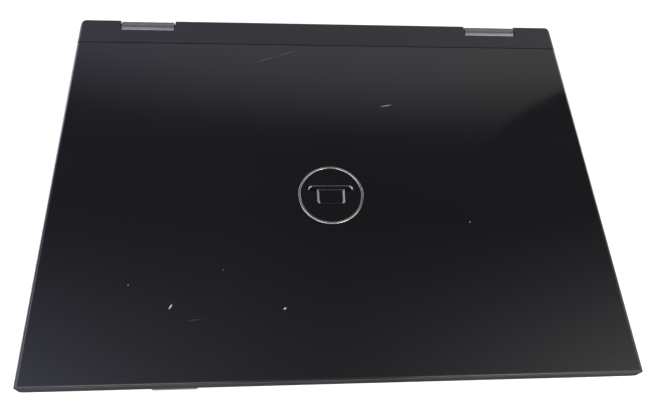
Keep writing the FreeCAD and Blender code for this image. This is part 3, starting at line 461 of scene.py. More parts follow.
    def dress(self, finish: "Finish", body: str, nodes: Sequence[str] = (),
              slot: str | None = None, angle: float = 35.0) -> "Piece":
        """Smooths the piece, gives it its finish and hangs it on its CAD body.

        Args:
            finish: the piece's main finish.
            body: the CAD body that carries it.
            nodes: CAD nodes that it stands for.
            slot: not used.
            angle: edges sharper than this stay crisp.

        Returns:
            The finished piece.
        """
        data = self.obj.data
        data.materials.clear()
        data.materials.append(finish.material())
        for face in data.polygons:
            face.material_index = 0
        select_only(self.obj)
        bpy.ops.object.shade_smooth_by_angle(angle=math.radians(angle))
        self.modify("WEIGHTED_NORMAL", mode="FACE_AREA", weight=100, keep_sharp=True)
        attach(self.obj, body)
        if nodes:
            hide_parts(*nodes)
        LOG.info("%s rides on %s", self.obj.name, body)
        return self


def at(value: float, target: float, slack: float = 0.02) -> bool:
    """True if two lengths are the same within the slack."""
    return abs(value - target) < slack


def upright(a: Vector, b: Vector) -> bool:
    """True for an edge that runs straight up."""
    return at(a.x, b.x) and at(a.y, b.y) and abs(a.z - b.z) > 0.05


def level_at(z: float) -> EdgeTest:
    """Returns a test for edges that lie at one height."""
    return lambda a, b: at(a.z, z) and at(b.z, z)


def faces_up(centre: Vector, normal: Vector) -> bool:
    """True for a face that looks straight up."""
    return normal.z > 0.99


def faces_down(centre: Vector, normal: Vector) -> bool:
    """True for a face that looks straight down."""
    return normal.z < -0.99


def faces_front(centre: Vector, normal: Vector) -> bool:
    """True for a face that looks to the front, or nearly."""
    return normal.y < -0.7


# ---- finishes ----
def linear(code: str) -> Colour:
    """Turns an sRGB hex colour into the linear colour that a shader takes.

    Args:
        code: six hex digits, such as "1b1b1d".

    Returns:
        Linear red, green, blue, and an alpha of 1.
    """
    levels = [int(code[n:n + 2], 16) / 255 for n in (0, 2, 4)]
    red, green, blue = (c / 12.92 if c <= 0.04045 else ((c + 0.055) / 1.055) ** 2.4
                        for c in levels)
    return red, green, blue, 1.0


def output(source: Node | Socket) -> Socket:
    """Returns a node's first output, or an output that is given as it is."""
    return source.outputs[0] if isinstance(source, Node) else source


def add_node(tree: Tree, kind: str, inputs: dict | None = None,
             stops: Sequence[tuple[float, Colour]] = (), **settings: object) -> Node:
    """Adds one shader node.

    Args:
        tree: the node tree that it joins.
        kind: Blender's name for the node, after "ShaderNode".
        inputs: a value, a node whose first output is used, or another output, for each named
            or numbered input.
        stops: places and colours, on a colour ramp.
        settings: the node's own options.

    Returns:
        The new node.
    """
    node = tree.nodes.new(f"ShaderNode{kind}")
    for name, value in settings.items():
        setattr(node, name, value)
    for key, value in (inputs or {}).items():
        if isinstance(value, (Node, Socket)):
            tree.links.new(output(value), node.inputs[key])
        else:
            node.inputs[key].default_value = value
    if stops:
        ramp = node.color_ramp.elements
        while len(ramp) < len(stops):
            ramp.new(0.5)
        for element, (place, colour) in zip(ramp, stops):
            element.position = place
            element.color = colour
    return node


def grey(level: float) -> Colour:
    """Returns an opaque neutral colour of one linear level."""
    return level, level, level, 1.0


@dataclass(frozen=True)
class Finish:
    """What every finish has: a colour and how the surface throws light back.

    The pattern method of each kind of finish adds what the eye sees on the real material.
    """

    name: str
    colour: str
    roughness: float = 0.5
    metallic: float = 0.0
    ior: float = 1.5
    coat: float = 0.0
    coat_roughness: float = 0.03

    def material(self) -> bpy.types.Material:
        """Returns the material, made the first time that it is asked for."""
        made = bpy.data.materials.get(self.name)
        if made:
            return made
        made = bpy.data.materials.new(self.name)
        made.use_nodes = True
        made.diffuse_color = linear(self.colour)
        tree = made.node_tree
        shader = tree.nodes["Principled BSDF"]
        for name, value in (("Base Color", linear(self.colour)), ("Roughness", self.roughness),
                            ("Metallic", self.metallic), ("IOR", self.ior),
                            ("Coat Weight", self.coat), ("Coat Roughness", self.coat_roughness)):
            shader.inputs[name].default_value = value
        place = add_node(tree, "TexCoord").outputs["Object"]
        for name, source in self.pattern(tree, place).items():
            tree.links.new(output(source), shader.inputs[name])
        return made

    def pattern(self, tree: Tree, place: Socket) -> Feeds:
        """Draws the finish's own detail and returns what feeds the shader's inputs."""
        return {}

    def tint(self, factor: float) -> Colour:
        """Returns the finish's colour, lighter or darker."""
        red, green, blue, _ = linear(self.colour)
        return red * factor, green * factor, blue * factor, 1.0


@dataclass(frozen=True)
class Moulded(Finish):
    """Injection-moulded plastic with the fine spark-eroded texture of its mould.

    The grain scatters light into a soft satin, and handling polishes it a little in patches.
    """

    grain_mm: float = 0.5
    grain_depth_mm: float = 0.02
    patch_mm: float = 45.0
    polish: float = 0.07
    tone: float = 0.12

    def pattern(self, tree: Tree, place: Socket) -> Feeds:
        """Draws mould grain, polished patches and a slight drift in tone."""
        patches = add_node(tree, "TexNoise",
                           {"Vector": place, "Scale": 1 / (self.patch_mm * MM), "Detail": 5.0})
        tone = add_node(tree, "ValToRGB", {"Fac": patches},
                        [(0.3, self.tint(1 - self.tone)), (0.7, self.tint(1 + self.tone))])
        sheen = add_node(tree, "MapRange",
                         {"Value": patches, "From Min": 0.3, "From Max": 0.7,
                          "To Min": self.roughness - self.polish,
                          "To Max": self.roughness + self.polish})
        grain = add_node(tree, "TexNoise", {"Vector": place, "Scale": 1 / (self.grain_mm * MM),
                                            "Detail": 3.0, "Roughness": 0.6})
        bump = add_node(tree, "Bump", {"Height": grain, "Strength": 0.6,
                                       "Distance": self.grain_depth_mm * MM})
        return {"Base Color": tone, "Roughness": sheen, "Normal": bump}


@dataclass(frozen=True)
class Mark:
    """One small scratch or nick: where it is, how it lies and how bright it is."""

    x: float
    y: float
    long: float
    wide: float
    turn: float
    light: float
    z: float = 33.8


@dataclass(frozen=True)
class GlossPanel(Finish):
    """Black ABS under a hard polished clear coat.

    It mirrors the room softly. Use leaves dust flecks, a few fine scratches and greasy patches
    that blur the mirror, and the coat has the slight ripple of sprayed lacquer.
    """

    ripple_mm: float = 9.0
    ripple_depth_mm: float = 0.004
    smudge_mm: float = 60.0
    smudge: float = 0.04
    fleck_mm: float = 11.0
    fleck_share: float = 0.025
    fleck_light: float = 0.03
    wear: str = "d9d6cf"
    marks: tuple[Mark, ...] = ()

    def pattern(self, tree: Tree, place: Socket) -> Feeds:
        """Draws ripple, smudges, dust flecks and scratches."""
        smudges = add_node(tree, "TexNoise", {"Vector": place, "Scale": 1 / (self.smudge_mm * MM),
                                              "Detail": 6.0, "Roughness": 0.65, "Distortion": 0.8})
        blur = add_node(tree, "MapRange",
                        {"Value": smudges, "From Min": 0.4, "From Max": 0.7,
                         "To Min": self.roughness, "To Max": self.roughness + self.smudge})
        cells = add_node(tree, "TexVoronoi",
                         {"Vector": place, "Scale": 1 / (self.fleck_mm * MM)})
        light = add_node(tree, "MapRange",
                         {"Value": cells, "From Min": self.fleck_share,
                          "From Max": self.fleck_share * 0.6, "To Max": self.fleck_light})
        for mark in self.marks:
            stroke = add_node(tree, "Mapping",
                              {"Vector": place, "Location": Vector((mark.x, mark.y, mark.z)) * MM,
                               "Rotation": (0, 0, math.radians(mark.turn)),
                               "Scale": Vector((mark.long, mark.wide, 4.0)) * MM / 2},
                              vector_type="TEXTURE")
            inside = add_node(tree, "TexGradient", {"Vector": stroke}, gradient_type="SPHERICAL")
            seen = add_node(tree, "MapRange", {"Value": inside.outputs["Fac"], "From Max": 0.5,
                                               "To Max": mark.light})
            light = add_node(tree, "Math", {0: light, 1: seen}, operation="MAXIMUM")
        colour = add_node(tree, "Mix", {0: light, 6: linear(self.colour), 7: linear(self.wear)},
                          data_type="RGBA")
        rough = add_node(tree, "Math", {0: blur, 1: light}, operation="ADD")
        ripple = add_node(tree, "TexNoise",
                          {"Vector": place, "Scale": 1 / (self.ripple_mm * MM), "Detail": 2.0})
        bump = add_node(tree, "Bump", {"Height": ripple, "Strength": 0.5,
                                       "Distance": self.ripple_depth_mm * MM})
        return {"Base Color": colour.outputs[2], "Roughness": rough, "Normal": bump}


@dataclass(frozen=True)
class FlakePaint(Finish):
    """Metallic paint: fine aluminium flake in a tinted lacquer, which glitters at the light."""

    flake_mm: float = 0.35
    flake_depth_mm: float = 0.02
    glitter: float = 0.35

    def pattern(self, tree: Tree, place: Socket) -> Feeds:
        """Draws flakes of uneven brightness and tilt."""
        flakes = add_node(tree, "TexVoronoi",
                          {"Vector": place, "Scale": 1 / (self.flake_mm * MM)})
        level = add_node(tree, "SeparateColor", {"Color": flakes.outputs["Color"]})
        tone = add_node(tree, "ValToRGB", {"Fac": level},
                        [(0.0, self.tint(1 - self.glitter)), (1.0, self.tint(1 + self.glitter))])
        bump = add_node(tree, "Bump", {"Height": level.outputs["Green"], "Strength": 0.15,
                                       "Distance": self.flake_depth_mm * MM})
        return {"Base Color": tone, "Normal": bump}


@dataclass(frozen=True)
class Metal(Finish):
    """Bare or plated metal with the fine lines of rolling, drawing or brushing.

    The lines run one way, so the shine is drawn out across them, and handling dulls it.
    """

    metallic: float = 1.0
    line_mm: float = 0.3
    stretch: float = 30.0
    line_depth_mm: float = 0.004
    cloud_mm: float = 25.0

    def pattern(self, tree: Tree, place: Socket) -> Feeds:
        """Draws the lines and cloudy dulling."""
        drawn = add_node(tree, "Mapping", {"Vector": place, "Scale": (1 / self.stretch, 1, 1)})
        lines = add_node(tree, "TexNoise",
                         {"Vector": drawn, "Scale": 1 / (self.line_mm * MM), "Detail": 4.0})
        clouds = add_node(tree, "TexNoise",
                          {"Vector": place, "Scale": 1 / (self.cloud_mm * MM), "Detail": 4.0})
        tone = add_node(tree, "ValToRGB", {"Fac": clouds},
                        [(0.35, self.tint(0.9)), (0.65, self.tint(1.05))])
        both = add_node(tree, "Math", {0: lines, 1: clouds}, operation="ADD")
        dull = add_node(tree, "MapRange",
                        {"Value": both, "From Min": 0.7, "From Max": 1.3,
                         "To Min": self.roughness * 0.8, "To Max": self.roughness * 1.25})
        bump = add_node(tree, "Bump", {"Height": lines, "Strength": 0.3,
                                       "Distance": self.line_depth_mm * MM})
        return {"Base Color": tone, "Roughness": dull, "Normal": bump}


@dataclass(frozen=True)
class SolderMask(Finish):
    """Glass-epoxy board under green lacquer, with copper tracks showing as lighter lines."""

    track_mm: float = 2.4
    track_depth_mm: float = 0.03

    def pattern(self, tree: Tree, place: Socket) -> Feeds:
        """Draws tracks in short straight runs."""
        tracks = add_node(tree, "TexVoronoi",
                          {"Vector": place, "Scale": 1 / (self.track_mm * MM)},
                          distance="MANHATTAN", feature="F1")
        line = add_node(tree, "Math", {0: tracks, 1: 0.16}, operation="PINGPONG")
        tone = add_node(tree, "ValToRGB", {"Fac": line},
                        [(0.03, self.tint(2.2)), (0.07, self.tint(1.0))])
        bump = add_node(tree, "Bump", {"Height": tone, "Strength": 0.4,
                                       "Distance": self.track_depth_mm * MM})
        return {"Base Color": tone, "Normal": bump}


# The lid's coat is polished ABS. The marks are wear: nicks, and the light hairlines of wiping.
LID_COAT = GlossPanel(
    "polished_black_abs", "08080a", roughness=0.035, ior=1.5,
    marks=(Mark(37.6, 50.3, 8.5, 0.9, 11, 0.20), Mark(-86.4, -79.2, 3.6, 1.0, 62, 0.45),
           Mark(-27.3, -81.3, 2.0, 1.2, 35, 0.40), Mark(-38.0, 86.6, 15.0, 0.6, 20, 0.06),
           Mark(-25.0, 91.5, 17.0, 0.6, 24, 0.05), Mark(79.1, -31.6, 1.3, 1.0, 80, 0.20),
           Mark(-109.0, -67.0, 1.2, 1.0, 10, 0.12), Mark(-73.5, -86.5, 9.0, 0.5, 3, 0.03),
           Mark(-60.0, -59.0, 1.0, 0.8, 0, 0.10)))
GLOSS_TRIM = GlossPanel("gloss_black_trim", "08080a", roughness=0.1)
# Satin moulding beside the gloss: the same black, from a bead-blasted mould.
STRIP_SATIN = Moulded("satin_black_abs", "121214", roughness=0.34, grain_mm=0.9,
                      grain_depth_mm=0.01)
# Matt, mould-textured walls, made darker than the deck's paint and given an IOR near 1 so that
# they hardly mirror the lit floor: painted shade on the upright walls.
WALL_MATT_PAINTED_SHADE = Moulded("matt_wall_painted_shade", "141416", roughness=0.55, ior=1.08, grain_mm=0.8,
                    grain_depth_mm=0.02)
# The lid's seam edge, painted a lighter grey along its roll: a painted highlight.
SEAM_PAINTED_HIGHLIGHT = Moulded("seam_edge_painted_highlight", "3a3a3e", roughness=0.4, grain_mm=0.8)
CASE_ABS = Moulded("textured_black_abs", "1d1d1f", roughness=0.55, grain_mm=0.6,
                   grain_depth_mm=0.05)
PALM_PAINT = Moulded("soft_black_paint", "232326", roughness=0.42, grain_mm=0.8,
                     grain_depth_mm=0.012, polish=0.1)
PAD_SATIN = Moulded("satin_pad_film", "2b2b2f", roughness=0.38, grain_mm=0.7,
                    grain_depth_mm=0.02, polish=0.12)
KEY_ABS = Moulded("keycap_abs", "19191b", roughness=0.48, grain_mm=0.45, grain_depth_mm=0.02,
                  patch_mm=12.0, polish=0.12)
PACK_ABS = Moulded("battery_case_abs", "1b1b1d", roughness=0.58, grain_mm=0.7,
                   grain_depth_mm=0.06)
NYLON = Moulded("moulded_nylon", "17171a", roughness=0.5, grain_mm=1.0)
NYLON_BLUE = Moulded("blue_moulded_nylon", "1c3a86", roughness=0.45, grain_mm=1.0)
BLANK_ABS = Moulded("grey_moulded_abs", "5b5b5e", roughness=0.5, grain_mm=0.6)
RUBBER = Moulded("moulded_rubber", "161617", roughness=0.82, grain_mm=0.5, grain_depth_mm=0.03)
SILICONE = Moulded("silicone_rubber", "d9d9d3", roughness=0.4, ior=1.41, grain_mm=1.5)
SHEATH = Moulded("taped_wire", "141416", roughness=0.6, grain_mm=1.2, grain_depth_mm=0.08)
EPOXY = Moulded("chip_epoxy", "1b1b1c", roughness=0.6, grain_mm=0.3)
CERAMIC = Moulded("capacitor_ceramic", "8a7355", roughness=0.5, grain_mm=0.4)
LEGEND_INK = Moulded("white_legend_ink", "c9ccd0", roughness=0.55, grain_mm=0.3,
                     grain_depth_mm=0.004)
HINGE_PAINT = FlakePaint("grey_metallic_paint", "6a6a6a", roughness=0.22, metallic=0.8,
                         coat=0.2, glitter=0.18)
# Hot-stamped foil: bright, but with a soft shine that shows from every side.
SILVER_FOIL = Metal("silver_foil", "dad8d2", roughness=0.34, line_mm=0.15)
# Plating dulled by handling: its shine spreads and goes a little warm.
DULL_CHROME = Metal("dulled_chrome_plate", "a8a59e", roughness=0.24, line_depth_mm=0.0005)
ZINC = Metal("zinc_plated_steel", "b9bab8", roughness=0.34)
SCREW_BLACK = Metal("black_oxide_steel", "2d2d2f", roughness=0.4, line_mm=0.2)
ALLOY = Metal("stamped_aluminium", "c3c5c8", roughness=0.36)
CHROME = Metal("chrome_plate", "d2d3d4", roughness=0.08, line_depth_mm=0.0005)
COPPER = Metal("bare_copper", "c98a63", roughness=0.32)
GOLD = Metal("gold_flashed_contact", "e2b65a", roughness=0.25)
BOARD = SolderMask("green_solder_mask", "1d5a35", roughness=0.35)
# Display glass under a matt polariser: near black when off, with a broad soft reflection.
DISPLAY = Moulded("matt_display_film", "0c0d10", roughness=0.3, grain_mm=0.4,
                  grain_depth_mm=0.003, polish=0.02, tone=0.03)
LENS = Finish("camera_lens_glass", "050507", roughness=0.04, coat=1.0)
LAMP = Finish("clear_lamp_lens", "b8c4cc", roughness=0.15, coat=0.6)


def dress_node(node: str, finish: Finish) -> None:
    """Gives a CAD node that stays in view its finish."""
    data = frame["nodes"][node].data
    data.materials.clear()
    data.materials.append(finish.material())
    LOG.info("%s keeps its CAD form", node)


# ---- lid ----
@dataclass
class Lid:
    """Glossy back cover, satin hinge strip, emblem, screen and what shows round it."""

    body: str = "lid"
    front_corner: float = 1.6
    seam_corner: float = 2.2
    rim_roll: float = 1.1
    side_roll: float = 2.4
    seam_share: float = 0.55
    wall: float = 1.6
    recess: float = 0.5
    seat_play: float = 0.05
    break_edge: float = 0.18
    ring_edge: float = 0.38
    disc_edge: float = 0.12
    icon_width: float = 26.0
    icon_depth: float = 11.5
    icon_line: float = 1.15
    icon_height: float = 0.16
    icon_base: float = 2.6
    icon_step: float = 5.0
    icon_corners: Span = (1.4, 1.9)
    glass_edge: float = 0.3
    glass_border: float = 4.2
    camera_y: float = -112.7
    eye_radius: float = 1.55
    eye_height: float = 0.5
    eye_rim: float = 0.5
    eye_sink: float = 0.12

    def build(self) -> None:
        """Makes every piece of the lid."""
        self.cover()
        self.strip()
        self.emblem()
        self.screen()
        self.bumpers()

    def cover(self) -> None:
        """Shell pressed from one sheet of gloss: rolled rim, hollow back, emblem seat."""
        room = Space.of("lid_back_cover")
        front, seam = room.y
        bottom, top = room.z
        shell = Piece.block("lid_cover", *room.spans)
        shell.bevel(lambda a, b: upright(a, b) and at(a.y, front), self.front_corner, 6)
        shell.bevel(lambda a, b: upright(a, b) and at(a.y, seam), self.seam_corner, 6)
        shell.weigh(level_at(top), 1.0)
        shell.weigh(lambda a, b: level_at(top)(a, b) and at(a.y, seam) and at(b.y, seam),
                    self.seam_share - 1)
        shell.modify("BEVEL", width=self.rim_roll * MM, segments=6, limit_method="WEIGHT")
        shell.inset(faces_down, self.wall)
        shell.extrude(lambda c, n: faces_down(c, n) and abs(c.x) < 1 and abs(c.y) < 30,
                      (0, 0, top - bottom - self.wall))
        seat = Space.of("emblem_ring")
        centre = seat.middle
        shell.cut(Piece.rod("seat", (centre.x, centre.y, top - self.recess), 2.0,
                            seat.size.x / 2 + self.seat_play, sides=128),
                  *self.side_cutters(room))
        shell.dress(LID_COAT, self.body, ["lid_back_cover"])
        # the cover's upright walls get the dark matt wall finish: painted shade
        shell.paint(WALL_MATT_PAINTED_SHADE, self.on_wall)
        # the seam edge's roll is painted lighter grey: a painted highlight
        shell.paint(SEAM_PAINTED_HIGHLIGHT, lambda c, n: seam - c.y < self.rim_roll * self.seam_share
                    and 0.1 < n.z < 0.95)

    def side_cutters(self, room: Space) -> list[Piece]:
        """Makes the two cutters that round the long side edges of a lid piece.

        Args:
            room: the room of the piece to round.

        Returns:
            The right cutter and its mirror twin.
        """
        reach = self.side_roll
        y, length = room.low.y - 1, room.size.y + 2
        x, z = room.high.x - reach, room.high.z - reach
        cutter = Piece.block("side_cutter", (x, x + reach + 1), (y, y + length),
                             (z, z + reach + 1))
        cutter.cut(Piece.rod("roll", (x, y - 1, z), length + 2, reach, Axis.Y, sides=128))
        return [cutter, cutter.twin("left_cutter", mirror=True)]

    @staticmethod
    def on_wall(centre: Vector, normal: Vector) -> bool:
        """True for a face of an upright wall."""
        return abs(normal.z) < 0.2

    def strip(self) -> None:
        """Satin strip with its rolled back edge and the two notches."""
        strip = Piece.cast("hinge_strip", "lid_hinge_strip")
        strip.cut(*self.side_cutters(Space.of("lid_hinge_strip")))
        strip.settle().soften(self.break_edge)
        strip.dress(STRIP_SATIN, self.body, ["lid_hinge_strip"])

    def emblem(self) -> None:
        """Polished ring round a black disc that carries a plain pictogram of a computer."""
        room = Space.of("emblem_ring")
        disc = Space.of("emblem_disc")
        centre = room.middle
        outer, inner = room.size.x / 2, disc.size.x / 2
        ring = Piece.ring("emblem_bezel", (centre.x, centre.y, room.low.z), outer, inner,
                          room.size.z)
        ring.bevel(level_at(room.high.z), self.ring_edge, 4)
        ring.dress(DULL_CHROME, self.body, ["emblem_ring"])
        plate = Piece.rod("emblem_plate", (centre.x, centre.y, disc.low.z), disc.size.z, inner,
                          sides=128)
        plate.bevel(level_at(disc.high.z), self.disc_edge, 2)
        plate.dress(LID_COAT, self.body, ["emblem_disc"])
        self.pictogram(centre.x, centre.y, disc.high.z)

    def pictogram(self, x: float, y: float, z: float) -> None:
        """Outlined computer, seen the right way up by someone behind the open lid."""
        line, height = self.icon_line, self.icon_height
        half, inset = self.icon_width / 2, self.icon_step
        back = y + self.icon_depth / 2
        front = y - self.icon_depth / 2
        meet = back - self.icon_base
        z_span = (z - 0.05, z + height)
        screen = Piece.block("emblem_mark", (x - half + inset, x + half - inset),
                             (front, meet), z_span)
        screen.bevel(lambda a, b: upright(a, b) and at(a.y, front), self.icon_corners[0], 4)
        base = Piece.block("mark_base", (x - half, x + half), (meet, back), z_span)
        base.bevel(lambda a, b: upright(a, b) and at(a.y, back), self.icon_corners[1], 5)
        for part, width in ((screen, line), (base, line * 0.7)):
            part.inset(faces_up, width)
            part.inset(lambda c, n: faces_up(c, n) and at(c.x, x, 1.0), 0.08, -height * 0.9)
        screen.join([base])
        screen.dress(SILVER_FOIL, self.body, slot="chrome")
        screen.paint(LID_COAT, lambda c, n: faces_up(c, n) and c.z < z + height * 0.5)

    def screen(self) -> None:
        """Bezel, display glass with its black border, and the camera's lens."""
        bezel = Piece.moulding("bezel_frame", "screen_bezel", CASE_ABS, 0.15)
        # the bezel's upright walls get the dark matt wall finish: painted shade
        bezel.paint(WALL_MATT_PAINTED_SHADE, self.on_wall)
        room = Space.of("screen_glass")
        glass = Piece.block("display_glass", *room.spans)
        glass.bevel(level_at(room.low.z), self.glass_edge, 2)
        glass.inset(faces_down, self.glass_border)
        glass.dress(GLOSS_TRIM, self.body, ["screen_glass"])
        glass.paint(DISPLAY, lambda c, n: faces_down(c, n) and at(c.x, 0, 2))
        eye_z = Space.of("camera_module").low.z - 0.05
        eye = Piece.rod("camera_lens", (0, self.camera_y, eye_z), self.eye_height,
                        self.eye_radius, sides=32)
        eye.inset(faces_down, self.eye_rim, -self.eye_sink)
        eye.bevel(level_at(eye_z), self.eye_sink, 2)
        eye.dress(LENS, self.body, slot="glass_dark")

    def bumpers(self) -> None:
        """Rubber pads that the lid closes on."""
        for number, room in enumerate(solids("screen_bumpers")):
            pad = Piece.post(f"bumper_{number}", room, 40)
            pad.bevel(level_at(room.low.z), 0.35, 3)
            pad.dress(RUBBER, self.body, ["screen_bumpers"])


# ---- hinge ----
@dataclass
class HingeBarrels:
    """The two fixed barrel covers in the lid's notches, and the lid's black end rings."""

    body: str = "base"
    radius: float = 4.7
    back_roll: float = 2.9
    axis_y: float = 114.2
    axis_z: float = 29.0
    bore: float = 2.65
    end_roll: float = 0.45
    foot_reach: float = 3.5
    foot_drop: float = 2.0
    step_roll: float = 1.1
    notch: Span = (97.2, 132.6)
    ring_radius: float = 4.2
    gap: float = 0.12

    def build(self) -> None:
        """Makes the right barrel with its rings, and their mirror twins."""
        room = [s for s in solids("hinge_covers") if s.low.x > 0][0]
        low, high = room.z
        front, back = self.axis_y - self.radius, room.high.y
        step = self.axis_z - self.foot_drop
        barrel = Piece.block("barrel_right", room.x, (front, back), (low, high))
        barrel.bevel(lambda a, b: self.along(a, b, front, high), self.radius, 20)
        barrel.bevel(lambda a, b: self.along(a, b, back, high), self.back_roll, 12)
        barrel.cut(Piece.block("step", (room.low.x - 1, room.high.x + 1),
                               (front - 1, self.axis_y - self.foot_reach), (low - 1, step)))
        barrel.bevel(lambda a, b: self.along(a, b, front, step), self.step_roll, 4)
        barrel.bevel(lambda a, b: self.on_end(a, b, room.low.x) or self.on_end(a, b, room.high.x),
                     self.end_roll, 3)
        barrel.cut(self.rod("bore", (room.high.x - 2, room.high.x + 1), self.bore))
        for piece in (barrel, barrel.twin("barrel_left", mirror=True)):
            piece.dress(HINGE_PAINT, self.body, ["hinge_covers"])
        outer = self.end_ring((room.high.x + self.gap, self.notch[1]))
        inner = self.end_ring((self.notch[0], room.low.x - self.gap))
        rings = [outer, inner, *(ring.twin("ring", mirror=True) for ring in (outer, inner))]
        Piece.together(rings).dress(NYLON, "lid", slot="case_black")

    def rod(self, name: str, x: Span, radius: float, sides: int = 64) -> Piece:
        """Starts a rod on the hinge axis between two ends."""
        return Piece.rod(name, (x[0], self.axis_y, self.axis_z), x[1] - x[0], radius, Axis.X,
                         sides)

    def end_ring(self, x: Span) -> Piece:
        """Models one black ring that closes the gap between a barrel's end and its notch."""
        ring = self.rod("hinge_end_rings", x, self.ring_radius)
        return ring.cut(self.rod("bore", (x[0] - 1, x[1] + 1), self.bore))

    def on_end(self, a: Vector, b: Vector, x: float) -> bool:
        """True for an edge round the upper part of one end."""
        return all(at(v.x, x) and v.z > self.axis_z - 0.5 for v in (a, b))

    @staticmethod
    def along(a: Vector, b: Vector, y: float, z: float) -> bool:
        """True for an edge that runs along the barrel at one place."""
        return all(at(v.y, y) and at(v.z, z) for v in (a, b))


def copies_of(rooms: Sequence[Space], make: Callable[[Space], Piece]) -> list[Piece]:
    """Makes a piece for each room; each size is modelled once and copied for the rest.

    Args:
        rooms: where the pieces go.
        make: models one piece to fill a room.

    Returns:
        One piece for each room, in the same order.
    """
    masters: dict[tuple, tuple[Piece, Vector]] = {}
    made = []
    for room in rooms:
        kind = tuple(round(length, 1) for length in room.size)
        if kind in masters:
            master, place = masters[kind]
            made.append(master.twin(master.obj.name, room.low - place))
        else:
            made.append(make(room))
            masters[kind] = (made[-1], room.low)
    return made


# ---- deck ----
@dataclass
class Deck:
    """Top of the case: palm rest, touch pad with its buttons, and the glossy trim strip."""

    body: str = "base"
    break_edge: float = 0.22
    pad_corner: float = 2.0
    pad_edge: float = 0.25
    scroll_x: float = 8.0
    groove: float = 0.35
    groove_sink: float = 0.12
    groove_ends: float = 5.0
    lamp_xs: tuple[float, ...] = (-124.0, -116.0, -108.0, -100.0)
    lamp_size: Span = (2.6, 0.9)
    button_rim: float = 0.7
    button_dish: float = 0.12
    symbol: float = 1.9
    symbol_line: float = 0.42

    def build(self) -> None:
        """Makes every piece of the deck."""
        shell = Piece.moulding("palm_rest_shell", "palm_rest", PALM_PAINT, self.break_edge)
        # the palm rest's front faces get the dark matt wall finish: painted shade
        shell.paint(WALL_MATT_PAINTED_SHADE, faces_front)
        self.pad()
        self.trim()
        self.power_button()

    def pad(self) -> None:
        """Touch pad with a scroll groove, and the two buttons below it."""
        room = Space.of("touch_pad")
        front, back = room.y
        top = room.high.z
        pad = Piece.block("touch_pad_plate", *room.spans)
        pad.bevel(lambda a, b: upright(a, b) and at(a.y, back), self.pad_corner, 6)
        pad.bevel(level_at(top), self.pad_edge, 3)
        pad.cut(Piece.block("groove", (self.scroll_x, self.scroll_x + self.groove),
                            (front + self.groove_ends, back - self.groove_ends),
                            (top - self.groove_sink, top + 1)))
        pad.dress(PAD_SATIN, self.body, ["touch_pad"])
        for side in ("left", "right"):
            node = f"pad_button_{side}"
            Piece.moulding(f"{node}_cap", node, PAD_SATIN, 0.12)

    def trim(self) -> None:
        """Glossy strip behind the keys, with a row of slim indicator lamps."""
        Piece.moulding("trim_strip", "power_strip", GLOSS_TRIM, 0.12)
        room = Space.of("power_strip")
        y, top = room.middle.y, room.high.z
        wide, deep = self.lamp_size
        lamps = []
        for x in self.lamp_xs:
            lamp = Piece.block("indicator_lamps", (x - wide / 2, x + wide / 2),
                               (y - deep / 2, y + deep / 2), (top - 0.4, top + 0.03))
            lamp.bevel(upright, 0.4, 4)
            lamps.append(lamp)
        Piece.together(lamps).dress(LAMP, self.body, slot="panel_gloss")

    def power_button(self) -> None:
        """Round button with a dished top and the standby symbol."""
        room = Space.of("power_button")
        x, y, _ = room.middle
        top = room.high.z
        button = Piece.post("power_button_cap", room, 96)
        button.bevel(level_at(top), 0.3, 3)
        button.inset(faces_up, self.button_rim, -self.button_dish)
        button.dress(CHROME, "power_button", ["power_button"])
        floor = top - self.button_dish
        line = self.symbol_line
        symbol = Piece.ring("standby_symbol", (x, y, floor - 0.1), self.symbol,
                            self.symbol - line, 0.14, 48)
        symbol.cut(Piece.block("gap", (x - line * 1.6, x + line * 1.6),
                               (y + self.symbol * 0.5, y + self.symbol * 1.5),
                               (floor - 1, floor + 1)))
        bar = Piece.block("bar", (x - line / 2, x + line / 2), (y + 0.2, y + self.symbol + 0.3),
                          (floor - 0.1, floor + 0.04))
        symbol.join([bar]).dress(LEGEND_INK, "power_button", slot="panel_gloss")


